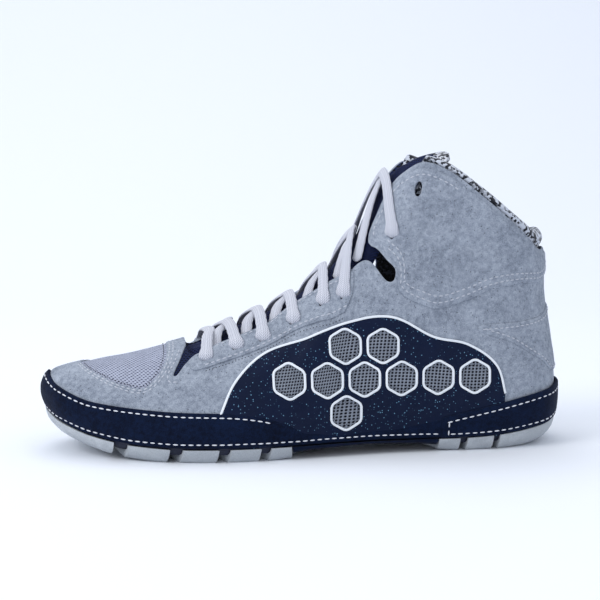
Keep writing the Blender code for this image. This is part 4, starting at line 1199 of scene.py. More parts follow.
@dataclass
class Upper:
    """The sewn upper: inner sleeve, leather panels, mesh patches and their seams."""

    finishes: Finishes
    eyelet: float = 0.0021
    sleeve_top: float = -0.0006
    leather_top: float = 0.00035
    layer_top: float = 0.0013
    rand_top: float = 0.0018
    heel_rand_top: float = 0.0026
    seam: float = 0.0015
    rand_seam: float = 0.0024
    rand_seam_top: float = 0.0022

    def around(self, low: float, *throat: Spots) -> Array:
        """Outline of a panel that runs from heel to toe, with its throat's strokes."""
        heel, toe = (HEEL_END, low), (TOE_END, low)
        ridge, collar = (TOE_END, OVER), (HEEL_END, COLLAR_EDGE)
        return outline(
            [heel, toe], [toe, ridge], [ridge, VAMP_EDGE[0]], *throat, [FLAP[-1], collar], [collar, heel]
        )

    def eyelets(self, spots: Spots) -> list[Array]:
        """Round holes for the lace."""
        return [hole(spot, self.eyelet) for spot in spots]

    def sleeve(self) -> None:
        """Mesh sleeve with its lining: the wall that all else is sewn to."""
        edge = VAMP_EDGE + [(9.93, 0.735), THROAT[0]]
        panel = Panel(
            "sleeve", self.around(0.0, edge, THROAT, SLOT, FLAP),
            [self.finishes.base, self.finishes.lining],
            self.eyelets(EYELETS + FLAP_EYELETS), top=self.sleeve_top, bottom=-0.0024, cell=0.0024,
            inner=True, drop=0.0003,
        )
        placed(panel.build(), Finish.GREY_SUEDE, "upper")

    def leather(self) -> None:
        """Grey suede body of the upper, with the toe opening and the flex slit."""
        slit = [
            VAMP_EDGE[-1], (10.10, 0.70), (10.22, 0.57), (10.22, 0.545), (10.16, 0.545), (10.0, 0.63),
            (9.86, 0.680), THROAT[0],
        ]
        patch = outline(TOE_PATCH, [TOE_PATCH[-1], TOE_PATCH[0]])
        panel = Panel(
            "leather", self.around(0.01, VAMP_EDGE, slit, THROAT, SLOT, FLAP), [self.finishes.grey],
            [patch, *self.eyelets(EYELETS + FLAP_EYELETS)], top=self.leather_top, bottom=-0.0007,
        )
        placed(panel.build(), Finish.GREY_SUEDE)
        under = scaled_about(patch, 0.0022)
        mesh = Panel("toe_mesh", under, [self.finishes.toe_mesh], top=-0.0001, bottom=-0.0006, rim=0)
        placed(mesh.build(), Finish.NAVY_MESH)

    def layers(self) -> None:
        """Ankle cuff, heel counter and eyestays."""
        cuff = outline(CUFF_LOW, CUFF_SLOT, CUFF_FLAP, [CUFF_FLAP[-1], CUFF_LOW[0]])
        holes = self.eyelets(FLAP_EYELETS)
        piece = Panel("ankle_cuff", cuff, [self.finishes.grey], holes, top=self.layer_top).build()
        placed(piece, Finish.GREY_SUEDE, "ankle_cuff")
        counter = outline(COUNTER_LOW, COUNTER_TOP, [COUNTER_TOP[-1], COUNTER_LOW[0]])
        piece = Panel("heel_counter", counter, [self.finishes.grey], top=self.layer_top - 0.0002).build()
        placed(piece, Finish.GREY_SUEDE, "heel_counter")
        stay = outline(STAY_TOP, STAY_REAR, STAY_LOW, STAY_FRONT)
        holes = self.eyelets(EYELETS)
        for side in Side:
            node = f"eyestay_{side.name.lower()}"
            panel = Panel(node, stay, [self.finishes.grey], holes, top=self.layer_top, sides=(side,))
            placed(panel.build(), Finish.GREY_SUEDE, node)

    def rand_outline(self, first: float, last: float, extra: float = 0.0) -> Array:
        """Plane outline of the rand between two stations."""
        p = np.arange(first, last + 0.05, 0.08)
        half = LAST.mirrored(p)
        low = LAST.at_height(half, eased(RAND_LINE, half) * LAST.height)
        high = LAST.at_height(half, eased(RAND_LINE, half, 2) * LAST.height + extra)
        foot, head = FLAT.flat(list(zip(p, low))), FLAT.flat(list(zip(p, high)))[::-1]
        return np.concatenate([
            resampled(foot, EDGE_STEP, False), straight(foot[-1], head[0]),
            resampled(head, EDGE_STEP, False), straight(head[-1], foot[0]),
        ])

    def rand(self) -> None:
        """Navy suede band round the foot, its heel piece and white stitches."""
        band = Panel(
            "rand", self.rand_outline(HEEL_END, TOE_END), [self.finishes.navy], top=self.rand_top, folds=0.3,
            rim=0.0009, drop=0.0007, cell=0.0013,
        )
        placed(band.build(), Finish.NAVY_SUEDE, "rand")
        heel = Panel(
            "rand_heel", self.rand_outline(HEEL_END, 3.35, 0.0008), [self.finishes.navy],
            top=self.heel_rand_top, folds=0.3, rim=0.0008, drop=0.0006, bottom=0.001,
        )
        placed(heel.build(), Finish.NAVY_SUEDE)
        thread = Stitching("rand_stitches", self.finishes.thread_white, 0.0028, 0.0012, 0.0004)
        for first, last, lift in ((0.0, 3.3, self.heel_rand_top), (3.45, 13.98, self.rand_top)):
            p = np.arange(first, last, 0.06)
            low = LAST.at_height(p, eased(RAND_LINE, p) * LAST.height + self.rand_seam)
            high = LAST.at_height(p, eased(RAND_LINE, p, 2) * LAST.height - self.rand_seam_top)
            thread.row(FLAT.flat(list(zip(p, low))), lift)
            thick = eased(RAND_LINE, p, 2) - eased(RAND_LINE, p) > 0.07
            for keep in (thick & (p < 6), thick & (p > 8)):
                if keep.sum() > 3:
                    thread.row(FLAT.flat(list(zip(p[keep], high[keep]))), lift)
        ends = FLAT.flat([(3.22, float(LAST.at_height(3.22, z)[0])) for z in np.linspace(0.010, 0.0165, 6)])
        thread.row(ends, self.heel_rand_top)
        placed(thread.build(), Finish.NAVY_SUEDE)

    def seams(self) -> None:
        """Grey and dark stitches of the panels."""
        light = Stitching("upper_stitches", self.finishes.thread_grey)
        dots = Stitching("dark_stitches", self.finishes.thread_dark, 0.0007, 0.0011, 0.0003)
        cuff = FLAT.stroke(CUFF_LOW[1:] + CUFF_SLOT[1:-1])
        for inset in (0.0016, 0.0034):
            light.row(offset(cuff, inset), self.layer_top)
        light.row(offset(FLAT.stroke(CUFF_FLAP[1:-1]), 0.0018), self.layer_top)
        for stroke in ([(0.0, 0.38)] + COUNTER_LOW[1:-1], COUNTER_TOP[1:-1], STAY_LOW, STAY_TOP):
            light.row(offset(FLAT.stroke(stroke), self.seam), self.layer_top)
        dots.row(offset(FLAT.stroke(STAY_LOW), -0.0016), self.leather_top)
        patch = FLAT.stroke(TOE_PATCH[1:-1])
        for shift in (-0.0015, -0.0033):
            light.row(offset(patch, shift), self.leather_top)
        dots.row(offset(patch, self.seam), 0.0)
        slit = FLAT.stroke([(10.13, 0.78), (10.20, 0.68), (10.33, 0.56), (10.30, 0.50), (10.16, 0.49)])
        light.row(slit, self.leather_top)
        placed(light.build(), Finish.GREY_SUEDE)
        placed(dots.build(), Finish.GREY_SUEDE)


@dataclass
class Cage:
    """Navy printed overlay with a honeycomb of mesh windows on each side."""

    finishes: Finishes
    top: float = 0.0013
    mesh_top: float = 0.0006
    border: float = 0.0022
    over_rand: float = 0.002
    piping: float = 0.0007

    def outline(self) -> tuple[Array, int]:
        """Plane outline along the rand's foot and over the midfoot, and its upper part's count."""
        top = [(run * LAST.length, up * LAST.height) for run, up in CAGE_TOP]
        curve = FLAT.flat(LAST.locate(resampled(np.array(top), 0.003, True).tolist()))
        p, _ = FLAT.spots(curve)
        feet = FLAT.flat([(p[-1] - 0.05, -0.01), (p[0] + 0.05, -0.01)])
        curve = resampled(curve, EDGE_STEP)
        ends = (curve[-1], feet[0]), (feet[0], feet[1]), (feet[1], curve[0])
        return np.concatenate([curve, *(straight(a, b) for a, b in ends)]), len(curve)

    def windows(self) -> list[Array]:
        """Rounded hexagons that fit inside the outline, over the rand."""
        top = resampled(np.array(CAGE_TOP) * (LAST.length, LAST.height), 0.003)
        frame_line = np.concatenate([top, [(top[-1, 0] - 0.004, 0.0), (top[0, 0] + 0.004, 0.0)]])
        turn = np.radians(30 + 60 * np.arange(6))
        corners = HEX_RADIUS * np.stack([np.cos(turn), np.sin(turn)], axis=1)
        ring = []
        for a, b in zip(corners, np.roll(corners, -1, axis=0)):
            ring += [a * 0.945, a * 0.84 + b * 0.16, (a + b) / 2, a * 0.16 + b * 0.84]
        loops = []
        for row in range(-2, 3):
            for column in range(-5, 6):
                run = CAGE_CENTRE[0] * LAST.length - (column + 0.5 * (row % 2)) * HEX_PITCH
                up = CAGE_CENTRE[1] * LAST.height + row * HEX_PITCH * math.sqrt(3) / 2
                shape = np.array(ring) + (run, up)
                if not within(frame_line, shape).all() or from_line(shape, frame_line).min() < self.border:
                    continue
                spots = LAST.locate(shape.tolist())
                foot = eased(RAND_LINE, np.array([s[0] for s in spots]), 2) * LAST.height
                if (shape[:, 1] < foot + self.over_rand).any():
                    continue
                loops.append(resampled(FLAT.flat(spots), 0.0008, False, True))
        return loops

    def build(self) -> None:
        """Makes the print, its windows, piping and dots on both sides."""
        (shape, count), windows = self.outline(), self.windows()
        for side in Side:
            node = f"cage_{side.name.lower()}"
            panel = Panel(node, shape, [self.finishes.print], windows, top=self.top, sides=(side,))
            placed(panel.build(), Finish.NAVY_PRINT, node)
        under = Panel(
            "window_mesh", scaled_about(shape, -0.003), [self.finishes.window_mesh], top=self.mesh_top,
            rim=0, drop=0,
        )
        placed(under.build(), Finish.NAVY_MESH)
        edge = piping("window_piping", windows, self.top - 0.0001, self.piping, self.finishes.white)
        placed(edge, Finish.NAVY_PRINT)
        edge = piping(
            "cage_piping", [shape[:count]], self.top - 0.0003, self.piping, self.finishes.white, closed=False
        )
        placed(edge, Finish.NAVY_PRINT)
        dots = Stitching("window_dots", self.finishes.thread_dark, 0.0006, 0.0010, 0.00028)
        for loop in windows:
            dots.row(scaled_about(np.concatenate([loop, loop[:1]]), -0.0016), self.mesh_top)
        placed(dots.build(), Finish.NAVY_PRINT)


def grid_skin(
    bm: BMesh, spots: Array, index: int = 0, flip: bool = False, like: Array | None = None
) -> list[bmesh.types.BMEdge]:
    """Lays a grid over rows of points, with its millimetres along and across as attributes.

    Args:
        bm: mesh that the grid is added to.
        spots: points by row and column.
        index: material index.
        flip: turn the faces round.
        like: grid of points that is measured in place of this one.

    Returns:
        The grid's free edges.
    """
    rows, columns = spots.shape[:2]
    along, across = (ways(spots if like is None else like, axis) for axis in (0, 1))
    layers = [bm.verts.layers.float.get(n) or bm.verts.layers.float.new(n) for n in ("along", "across")]
    made = bmesh.ops.create_grid(bm, x_segments=columns - 1, y_segments=rows - 1, size=1)["verts"]
    for k, vert in enumerate(made):
        row, column = divmod(k, columns)
        vert.co = spots[row, column]
        vert[layers[0]], vert[layers[1]] = along[row, column], across[row, column]
    faces = linked(made, "link_faces")
    for face in faces:
        face.material_index = index
    if flip:
        bmesh.ops.reverse_faces(bm, faces=faces)
    return [e for e in linked(made, "link_edges") if e.is_boundary]


def ways(spots: Array, axis: int) -> Array:
    """Millimetres along an axis of a grid of points."""
    steps = np.linalg.norm(np.diff(spots, axis=axis), axis=2)
    zero = np.zeros_like(steps[:1] if axis == 0 else steps[:, :1])
    return np.cumsum(np.concatenate([zero, steps], axis=axis), axis=axis) * 1000


@dataclass
class Tongue:
    """Padded mesh tongue: under the vamp it follows the last, then it leans back."""

    finishes: Finishes
    wall: float = 0.0030
    columns: int = 33
    roll_width: float = 5.2
    roll_height: float = 0.0004
    knit_band: float = 11
    smoothing: int = 3

    EDGE = [(6.1, 0.49), (6.8, 0.50), (8.0, 0.62), (9.2, 0.64), (10.4, 0.72)]
    CLEARANCE = [(8.6, 0.0015), (9.6, 0.0027)]
    TIP = [(0, 0.218, 0, 1.028), (0.5, 0.226, 0.115, 1.010), (1, 0.262, 0.185, 0.915)]
    BEND = [(0, 0.312, 0, 1.012), (0.5, 0.312, 0.105, 0.965), (1, 0.322, 0.165, 0.850)]

    @staticmethod
    def across(rows: Sequence[Row], share: Array) -> Array:
        """Points of a table (share, run, half width, up) at signed shares across."""
        size = np.abs(share)
        run, wide, up = (np.interp(size, [r[0] for r in rows], [r[k] for r in rows]) for k in (1, 2, 3))
        x = LAST.flip(run * LAST.length)
        return np.stack([x, np.sign(share) * wide * LAST.ball_width, up * LAST.height], axis=1)

    def build(self) -> None:
        """Makes the tongue with a puffed wall and a mottled upper edge."""
        share = np.linspace(-1, 1, self.columns)
        half = np.abs(share)
        rows = []
        for station in np.arange(10.4, 6.05, -0.1):
            edge = float(eased(self.EDGE, station))
            under = 0.0024 + float(eased(self.CLEARANCE, station))
            p = np.where(share < 0, station, AROUND - station)
            rows.append(LAST.lifted(p, 1 - (1 - edge) * half, -under))
        start, bend, tip = rows[-1], self.across(self.BEND, share), self.across(self.TIP, share)
        for t in np.linspace(0, 1, 30)[1:]:
            rows.append((1 - t) ** 2 * start + 2 * t * (1 - t) * bend + t * t * tip)
        spots = np.array(rows)
        for _ in range(self.smoothing):
            spots[:, 1:-1] = spots[:, 1:-1] * 0.5 + (spots[:, :-2] + spots[:, 2:]) * 0.25
        along, across = ways(spots, 0), ways(spots, 1)
        down, side = np.gradient(spots, axis=0), np.gradient(spots, axis=1)
        inward = np.cross(side, down)
        inward /= np.linalg.norm(inward, axis=2)[:, :, None]
        inward *= np.sign((inward @ np.array((1.0, 0, -1.0))).mean())
        puff = np.sqrt(np.clip(1 - half**8, 0, 1))[None, :] * np.ones((len(spots), 1))
        tip_fade = np.sqrt(np.clip(1 - (1 - np.minimum(1, (along.max() - along) / 4.0)) ** 2, 0, 1))
        depth = (self.wall * puff * tip_fade)[:, :, None]
        rolls = self.roll_height * np.sin(across / self.roll_width * math.pi)[:, :, None] * puff[:, :, None]
        front = spots + inward * (self.wall - depth) / 2 - inward * rolls * 0.5
        back = front + inward * np.maximum(depth, 0.0004)
        bm = bmesh.new()
        edges = grid_skin(bm, front, like=spots) + grid_skin(bm, back, 1, True, spots)
        bmesh.ops.bridge_loops(bm, edges=edges)
        length = along.max()
        layer = bm.verts.layers.float["along"]
        for face in bm.faces:
            if max(length - vert[layer] for vert in face.verts) < self.knit_band:
                face.material_index = 2
        materials = [self.finishes.tongue, self.finishes.lining, self.finishes.knit]
        placed(closed_object("tongue", bm, materials), Finish.NAVY_MESH, "tongue")


@dataclass
class Collar:
    """Padded knit lining that rolls over the collar's edge."""

    finishes: Finishes
    start: float = 0.0031
    wall: float = 0.0034
    end: float = 4.95
    rings: int = 151
    corners: int = 56
    # Size of the closed ends, and the stations over which they grow to the full size
    end_share: float = 0.35
    end_reach: float = 0.25

    LIP = [(0, 0.0118), (1, 0.0112), (1.7, 0.0092), (2.3, 0.0074), (3.5, 0.0058), (5.2, 0.0048)]
    LOW = [(0, 0.70), (2, 0.74), (5.2, 0.82)]

    def build(self) -> None:
        """Makes the roll as closed rings from one flap round the heel to the other."""
        bm = bmesh.new()
        along = bm.verts.layers.float.new("along")
        rings = []
        up = np.array((0, 0, 1.0))
        for k, station in enumerate(np.linspace(-self.end, self.end, self.rings)):
            place = abs(station)
            p = station % AROUND
            lip, low = float(eased(self.LIP, place)), float(eased(self.LOW, place))
            v = np.array([low, (low + 1) / 2, 0.985])
            outer, inner = LAST.lifted(p, v, -self.start), LAST.lifted(p, v, -self.start - self.wall)
            n = LAST.normal(np.array([p]), np.array([0.99]))[0]
            rim = outer[2] + up * lip * 0.62 + n * self.start * 0.92
            crown = (outer[2] + inner[2]) / 2 + up * lip * 1.02 + n * 0.0004
            inner[1] -= LAST.normal(np.array([p]), v[1:2])[0] * 0.0008
            tuck = self.end_share + (1 - self.end_share) * min(1.0, (self.end - place) / self.end_reach)
            loop = np.stack([*outer, rim, crown, inner[2] + up * lip * 0.45, inner[1], inner[0]])
            loop = loop.mean(axis=0) + (loop - loop.mean(axis=0)) * tuck
            ring = resampled(loop, EDGE_STEP, True, True)
            turn = np.linspace(0, len(ring), self.corners + 1)[:-1]
            whole = np.concatenate([ring, ring[:1]])
            ring = np.stack([np.interp(turn, np.arange(len(whole)), whole[:, a]) for a in range(3)], 1)
            made = bmesh.ops.create_circle(bm, segments=self.corners, radius=1)["verts"]
            for vert, co in zip(made, ring):
                vert.co = co
                vert[along] = k
            rings.append(linked(made, "link_edges"))
        for a, b in zip(rings, rings[1:]):
            bmesh.ops.bridge_loops(bm, edges=a + b)
        for ring in (rings[0], rings[-1]):
            bmesh.ops.edgeloop_fill(bm, edges=ring)
        piece = closed_object("collar_lining", bm, [self.finishes.collar])
        placed(piece, Finish.MOTTLED_KNIT, "collar_lining")


@dataclass
class Laces:
    """Flat woven lace: a first bar and six crossings whose ends drop into the eyelets."""

    finishes: Finishes
    half: float = 0.0031
    depth: float = 0.00105
    over_stay: float = 0.0014
    on_tongue: float = -0.0018
    # Where the ends swell, how far the swelling reaches and the ends close, in millimetres
    swell_places: tuple[float, float] = (3.2, 3.4)
    swell_reach: float = 3.0
    taper: float = 2.2

    def strand(self, bm: BMesh, route: Sequence[Row], puff: tuple[float, float]) -> None:
        """Carries the lace's oval along a route of (station, share, lift).

        Args:
            bm: mesh that the strand is added to.
            route: stations count on past the ridge on the inner side.
            puff: how much the ends swell at the start and the end.
        """
        p, v, lift = (np.array(c, float) for c in zip(*route))
        both = np.concatenate([LAST.lifted(p, v, lift), LAST.normal(p, v)], axis=1)
        step = 0.9
        both = resampled(both, step / 1000)
        way = np.arange(len(both)) * step
        left = way[-1] - way
        swell = 1.0
        for size, far, place in zip(puff, (way, left), self.swell_places):
            swell = swell + size * np.exp(-(((far - place) / self.swell_reach) ** 2))
        close = np.sqrt(np.clip(np.minimum(way, left) / self.taper + 0.12, 0, 1))
        wide = self.half * (1 + (swell - 1) * 0.45) * close * (1 + 0.03 * np.sin(way * 1.3))
        deep = self.depth * swell * close
        sweep(bm, both[:, :3], both[:, 3:], wide, deep, segments=14)

    def crossing(self, name: str, near: Row, far: Row) -> None:
        """Two strands from under one edge over the tongue into the next eyelets.

        Args:
            name: of the piece and of the node that it replaces.
            near: station and share of the eyelets that the strands come from.
            far: station and share of the eyelets that they drop into.
        """
        bm = bmesh.new()
        inside = float(np.interp(near[0], [8.5, 9.6], [0.76, 0.74])) if near[0] > 8 else near[1] + 0.13
        for side, extra in ((Side.LATERAL, 0.0), (Side.MEDIAL, 0.0014)):
            other = Side.MEDIAL if side is Side.LATERAL else Side.LATERAL
            ridge = (near[0] + far[0]) / 2
            lift = self.on_tongue + 0.0012 + extra
            over = self.over_stay + 0.0006
            middle = ridge + (near[0] - ridge) * 0.5
            steps = [
                (near[0] - 0.12, inside - 0.03, self.on_tongue - 0.0006, side),
                (middle, (inside + 1) / 2, (self.on_tongue + lift) / 2 + 0.0003, side),
                (ridge, 1.0, lift, other),
            ]
            for share in (0.30, 0.55, 0.80):
                place = ridge + (far[0] - ridge) * share
                rest = lift + (over - lift) * min(1.0, share / 0.5)
                steps.append((place, 1 + (far[1] - 1) * share, rest, other))
            steps.append((far[0], far[1] + 0.012, over, other))
            steps.append((far[0], far[1] - 0.022, self.over_stay - 0.0016, other))
            route = [(float(LAST.on_side(s, where)), v, up) for s, v, up, where in steps]
            self.strand(bm, route, (0.0, 0.75))
        placed(closed_object(name, bm, [self.finishes.lace]), Finish.GREY_LACE, name)

    def build(self) -> None:
        """Makes the bar and the crossings."""
        bm = bmesh.new()
        station, v = EYELETS[0]
        route = []
        for share in (1.06, 1.0, 0.8, 0.5, 0.0):
            climb = self.over_stay - self.on_tongue - 0.0008
            lift = self.on_tongue + 0.0012 + climb * min(1.0, share / 0.5)
            lift -= 0.0018 if share > 1.05 else 0
            route.append((station, 1 + (v - 1) * share, lift))
        route += [(AROUND - station, v, lift) for _, v, lift in route[-2::-1]]
        self.strand(bm, route, (0.6, 0.6))
        placed(closed_object("lace_bar", bm, [self.finishes.lace]), Finish.GREY_LACE, "lace_bar")
        targets = EYELETS[1:] + FLAP_EYELETS[:1]
        for k, (near, far) in enumerate(zip(EYELETS, targets)):
            self.crossing(f"lace_crossing_{k + 1}", near, far)


# Plan lines of the sole: shares of the length along the run and of the ball's width
FOREFOOT_REAR = [
    (0.545, -0.60), (0.535, -0.36), (0.527, -0.24), (0.548, -0.12), (0.597, 0.00), (0.602, 0.12),
    (0.600, 0.30), (0.617, 0.38), (0.660, 0.60),
]
HEEL_FRONT = [
    (0.258, -0.60), (0.258, -0.30), (0.280, -0.17), (0.305, -0.02), (0.357, 0.11), (0.372, 0.25),
    (0.352, 0.60),
]
PLUG = [(0.361, -0.08), (0.474, -0.13), (0.549, 0.06), (0.537, 0.13), (0.393, 0.06)]


@dataclass(frozen=True)
class Groove:
    """Straight groove of the tread, from the side to its inner end, in shares; half is its half width."""

    side_run: float
    end_run: float
    end_y: float
    half: float
    deep: bool = True

    def line(self) -> tuple[Array, Array]:
        """Plan ends in metres; a shallow one reaches the inner side."""
        side = -0.62 if self.deep else 0.62
        a = np.array((self.side_run * LAST.length, side * LAST.ball_width))
        return a, np.array((self.end_run * LAST.length, self.end_y * LAST.ball_width))

    def outline(self) -> Array:
        """Rounded plan outline."""
        a, b = self.line()
        arm = (b - a) / np.linalg.norm(b - a)
        side = np.array((-arm[1], arm[0])) * self.half * LAST.length
        tip = [b - side * 0.7, b - side * 0.35 + arm * 0.0022, b + side * 0.35 + arm * 0.0022, b + side * 0.7]
        return np.array([a + side * 1.1, a - side * 1.1, *tip])


GROOVES = [
    Groove(0.561, 0.660, -0.02, 0.0095), Groove(0.639, 0.740, -0.01, 0.0100),
    Groove(0.726, 0.814, 0.00, 0.0105), Groove(0.826, 0.884, 0.02, 0.0120),
    Groove(0.190, 0.232, 0.03, 0.0080), Groove(0.127, 0.166, 0.03, 0.0070),
    Groove(0.632, 0.664, 0.02, 0.0042, False), Groove(0.702, 0.744, 0.03, 0.0042, False),
    Groove(0.772, 0.818, 0.04, 0.0042, False), Groove(0.828, 0.886, 0.06, 0.0042, False),
    Groove(0.205, 0.236, 0.07, 0.0038, False),
]


def plan(shares: Spots) -> Array:
    """Plan points in metres from shares."""
    return np.array(shares) * (LAST.length, LAST.ball_width)


@dataclass
class Sole:
    """Midsole, forefoot and heel rubber, arch wrap, plug and sock liner."""

    finishes: Finishes
    outsole: float = 0.0040
    wrap: float = 0.0016
    proud: float = 0.0016
    knee: float = 0.40
    pocket: float = 0.0009
    gap: float = 0.0003
    hex_pitch: float = 0.0052
    hex_height: float = 0.0007
    hex_border: float = 0.0006
    side_wall: float = 0.0013
    stations: int = 141
    insole_inset: float = 0.0042
    insole_wall: float = 0.0030
    shallow: float = 0.0014
    plug_gap: float = 0.0006

    def halves(self) -> tuple[Array, Array]:
        """Stations from heel to toe on the outer and the inner side."""
        p = np.linspace(0, TOE, self.stations)
        return p, np.mod(AROUND - p, AROUND)

    def tread_ring(self) -> Array:
        """Plan outline of the tread."""
        ring = self.ground(np.mod(np.linspace(0, AROUND, self.stations), AROUND), 0)
        return np.stack([LAST.flip(ring[:, 0]), ring[:, 1]], axis=1)

    def flat_normal(self, p: Array) -> Array:
        """Outward normals of the feather edge in plan."""
        n = LAST.normal(p, np.zeros(len(p)))
        n[:, 2] = 0
        return n / np.linalg.norm(n, axis=1)[:, None]

    def edge(self, p: Array, inset: Array | float) -> Array:
        """Feather edge moved inwards."""
        inset = np.broadcast_to(np.asarray(inset, float), p.shape)
        return LAST.point(p, np.zeros(len(p))) - self.flat_normal(p) * inset[:, None]

    def ground(self, p: Array, height: float, extra: float = 0.0) -> Array:
        """Edge of the tread at a height over the underside."""
        tuck = eased(RAND_LINE, LAST.mirrored(p), 3) * LAST.ball_width
        at = self.edge(p, tuck - self.proud + extra)
        at[:, 2] = LAST.rise(LAST.flip(at[:, 0])) + height
        return at

    def profile(self, p: Array, height: float, inset: float) -> Array:
        """Side of the sole from the tread's edge up to the rand, for each station."""
        low = eased(RAND_LINE, LAST.mirrored(p)) * LAST.height - self.gap - self.proud / 3
        n = self.flat_normal(p)
        top = LAST.point(p, LAST.at_height(p, low)) + n * (self.gap + self.proud - inset)
        top[:, 2] = low
        ground = self.ground(p, height, inset)
        outer = self.edge(p, inset - self.proud)
        knee = top * 0.42 + outer * 0.58
        knee -= n * np.linalg.norm(outer - ground, axis=1)[:, None] * 0.16
        knee[:, 2] = ground[:, 2] + (low - ground[:, 2]) * self.knee
        t = np.linspace(0, 1, 8)[:, None, None]
        bend = 2 * knee - (ground + top) / 2
        return ((1 - t) ** 2 * ground + 2 * t * (1 - t) * bend + t * t * top).transpose(1, 0, 2)

    def skin(self, height: float, inset: float, treaded: bool) -> Array:
        """Grid of the whole sole: up one side, across the tread and up the other."""
        a, b = (self.profile(p, height, inset) for p in self.halves())
        t = np.linspace(0, 1, 54)[1:-1, None]
        across = a[:, :1] * (1 - t) + b[:, :1] * t
        across[:, :, 2] = LAST.rise(LAST.flip(across[:, :, 0])) + height
        if treaded:
            flat = across.reshape(-1, 3)
            spots = np.stack([LAST.flip(flat[:, 0]), flat[:, 1]], axis=1)
            flat[:, 2] += self.pocket * smoothstep((self.clear(spots) - 0.0022) / 0.0011)
            for groove in GROOVES:
                if not groove.deep:
                    line = np.array(groove.line())
                    near = from_line(spots, line) / (groove.half * LAST.length)
                    flat[:, 2] += self.shallow * smoothstep((1.35 - near) / 0.7)
            across = flat.reshape(across.shape)
        return np.concatenate([a[:, ::-1], across, b], axis=1)

    def clear(self, spots: Array) -> Array:
        """Distance of plan points from the smooth ribs round the pockets of the tread."""
        near = from_line(spots, self.tread_ring()) - 0.0022
        for line in (FOREFOOT_REAR, HEEL_FRONT):
            near = np.minimum(near, from_line(spots, resampled(plan(line), 0.006)) - 0.0012)
        for groove in GROOVES:
            near = np.minimum(near, from_line(spots, np.array(groove.line())) - groove.half * LAST.length)
        spine = plan([(0.10, 0.02), (0.25, 0.06), (0.60, 0.02), (0.75, 0.03), (0.93, 0.03)])
        return np.minimum(near, from_line(spots, spine) - 0.0014)

    def cup(self, name: str, wall: float, material: Material, treaded: bool) -> Piece:
        """Shell of the whole sole with a wall, before it is cut to its plan."""
        bm = bmesh.new()
        for height, inset, flip in (
            (self.outsole - wall, 0.0, False), (self.outsole - self.gap, self.side_wall, True),
        ):
            spots = self.skin(height, inset, treaded and not flip)
            grid_skin(bm, spots, flip=flip)
        bmesh.ops.remove_doubles(bm, verts=bm.verts, dist=WELD)
        bmesh.ops.bridge_loops(bm, edges=free_edges(bm))
        return closed_object(name, bm, [material])

    @staticmethod
    def cutter(outlines: Sequence[Array], low: float = -0.02, high: float = 0.06) -> Piece:
        """Upright prisms over plan outlines, as one Boolean cutter."""
        bm = bmesh.new()
        for loop in outlines:
            ring = [bm.verts.new((LAST.flip(run), y, low)) for run, y in loop]
            face = bm.faces.new(ring)
            grown = bmesh.ops.extrude_face_region(bm, geom=[face])
            moved = picked(grown["geom"], bmesh.types.BMVert)
            bmesh.ops.translate(bm, verts=moved, vec=(0, 0, high - low))
        bmesh.ops.recalc_face_normals(bm, faces=bm.faces)
        mesh = bpy.data.meshes.new("cutter")
        bm.to_mesh(mesh)
        bm.free()
        made = bpy.data.objects.new("cutter", mesh)
        bpy.context.scene.collection.objects.link(made)
        return made

    @staticmethod
    def cut(piece: Piece, steps: Sequence[tuple[str, Piece]], bevel: float) -> None:
        """Applies Booleans and a small bevel to a piece, and removes the cutters."""
        for operation, cutter in steps:
            step = piece.modifiers.new("cut", "BOOLEAN")
            step.operation, step.solver, step.object = operation, "EXACT", cutter
        if bevel:
            step = piece.modifiers.new("round", "BEVEL")
            step.width, step.segments, step.limit_method = bevel, 2, "ANGLE"
            step.angle_limit = math.radians(48)
        graph = bpy.context.evaluated_depsgraph_get()
        mesh = bpy.data.meshes.new_from_object(piece.evaluated_get(graph))
        piece.modifiers.clear()
        old, piece.data = piece.data, mesh
        bpy.data.meshes.remove(old)
        for _, cutter in steps:
            bpy.data.objects.remove(cutter, do_unlink=True)
        mesh.shade_smooth()
        mesh.set_sharp_from_angle(angle=math.radians(42))

    def rubber(self, name: str, line: Spots, far: float, front: bool) -> None:
        """Forefoot or heel rubber with its grooves and pockets."""
        piece = self.cup(name, self.outsole, self.finishes.rubber, True)
        curve = resampled(plan(line), 0.002)
        keep = np.concatenate([curve, [(far, curve[-1, 1]), (far, curve[0, 1])]])
        deep = [g.outline() for g in GROOVES if g.deep and (g.side_run > 0.5) == front]
        steps = [("INTERSECT", self.cutter([keep])), ("DIFFERENCE", self.cutter(deep))]
        self.cut(piece, steps, 0.0005)
        placed(piece, Finish.GREY_RUBBER, name)

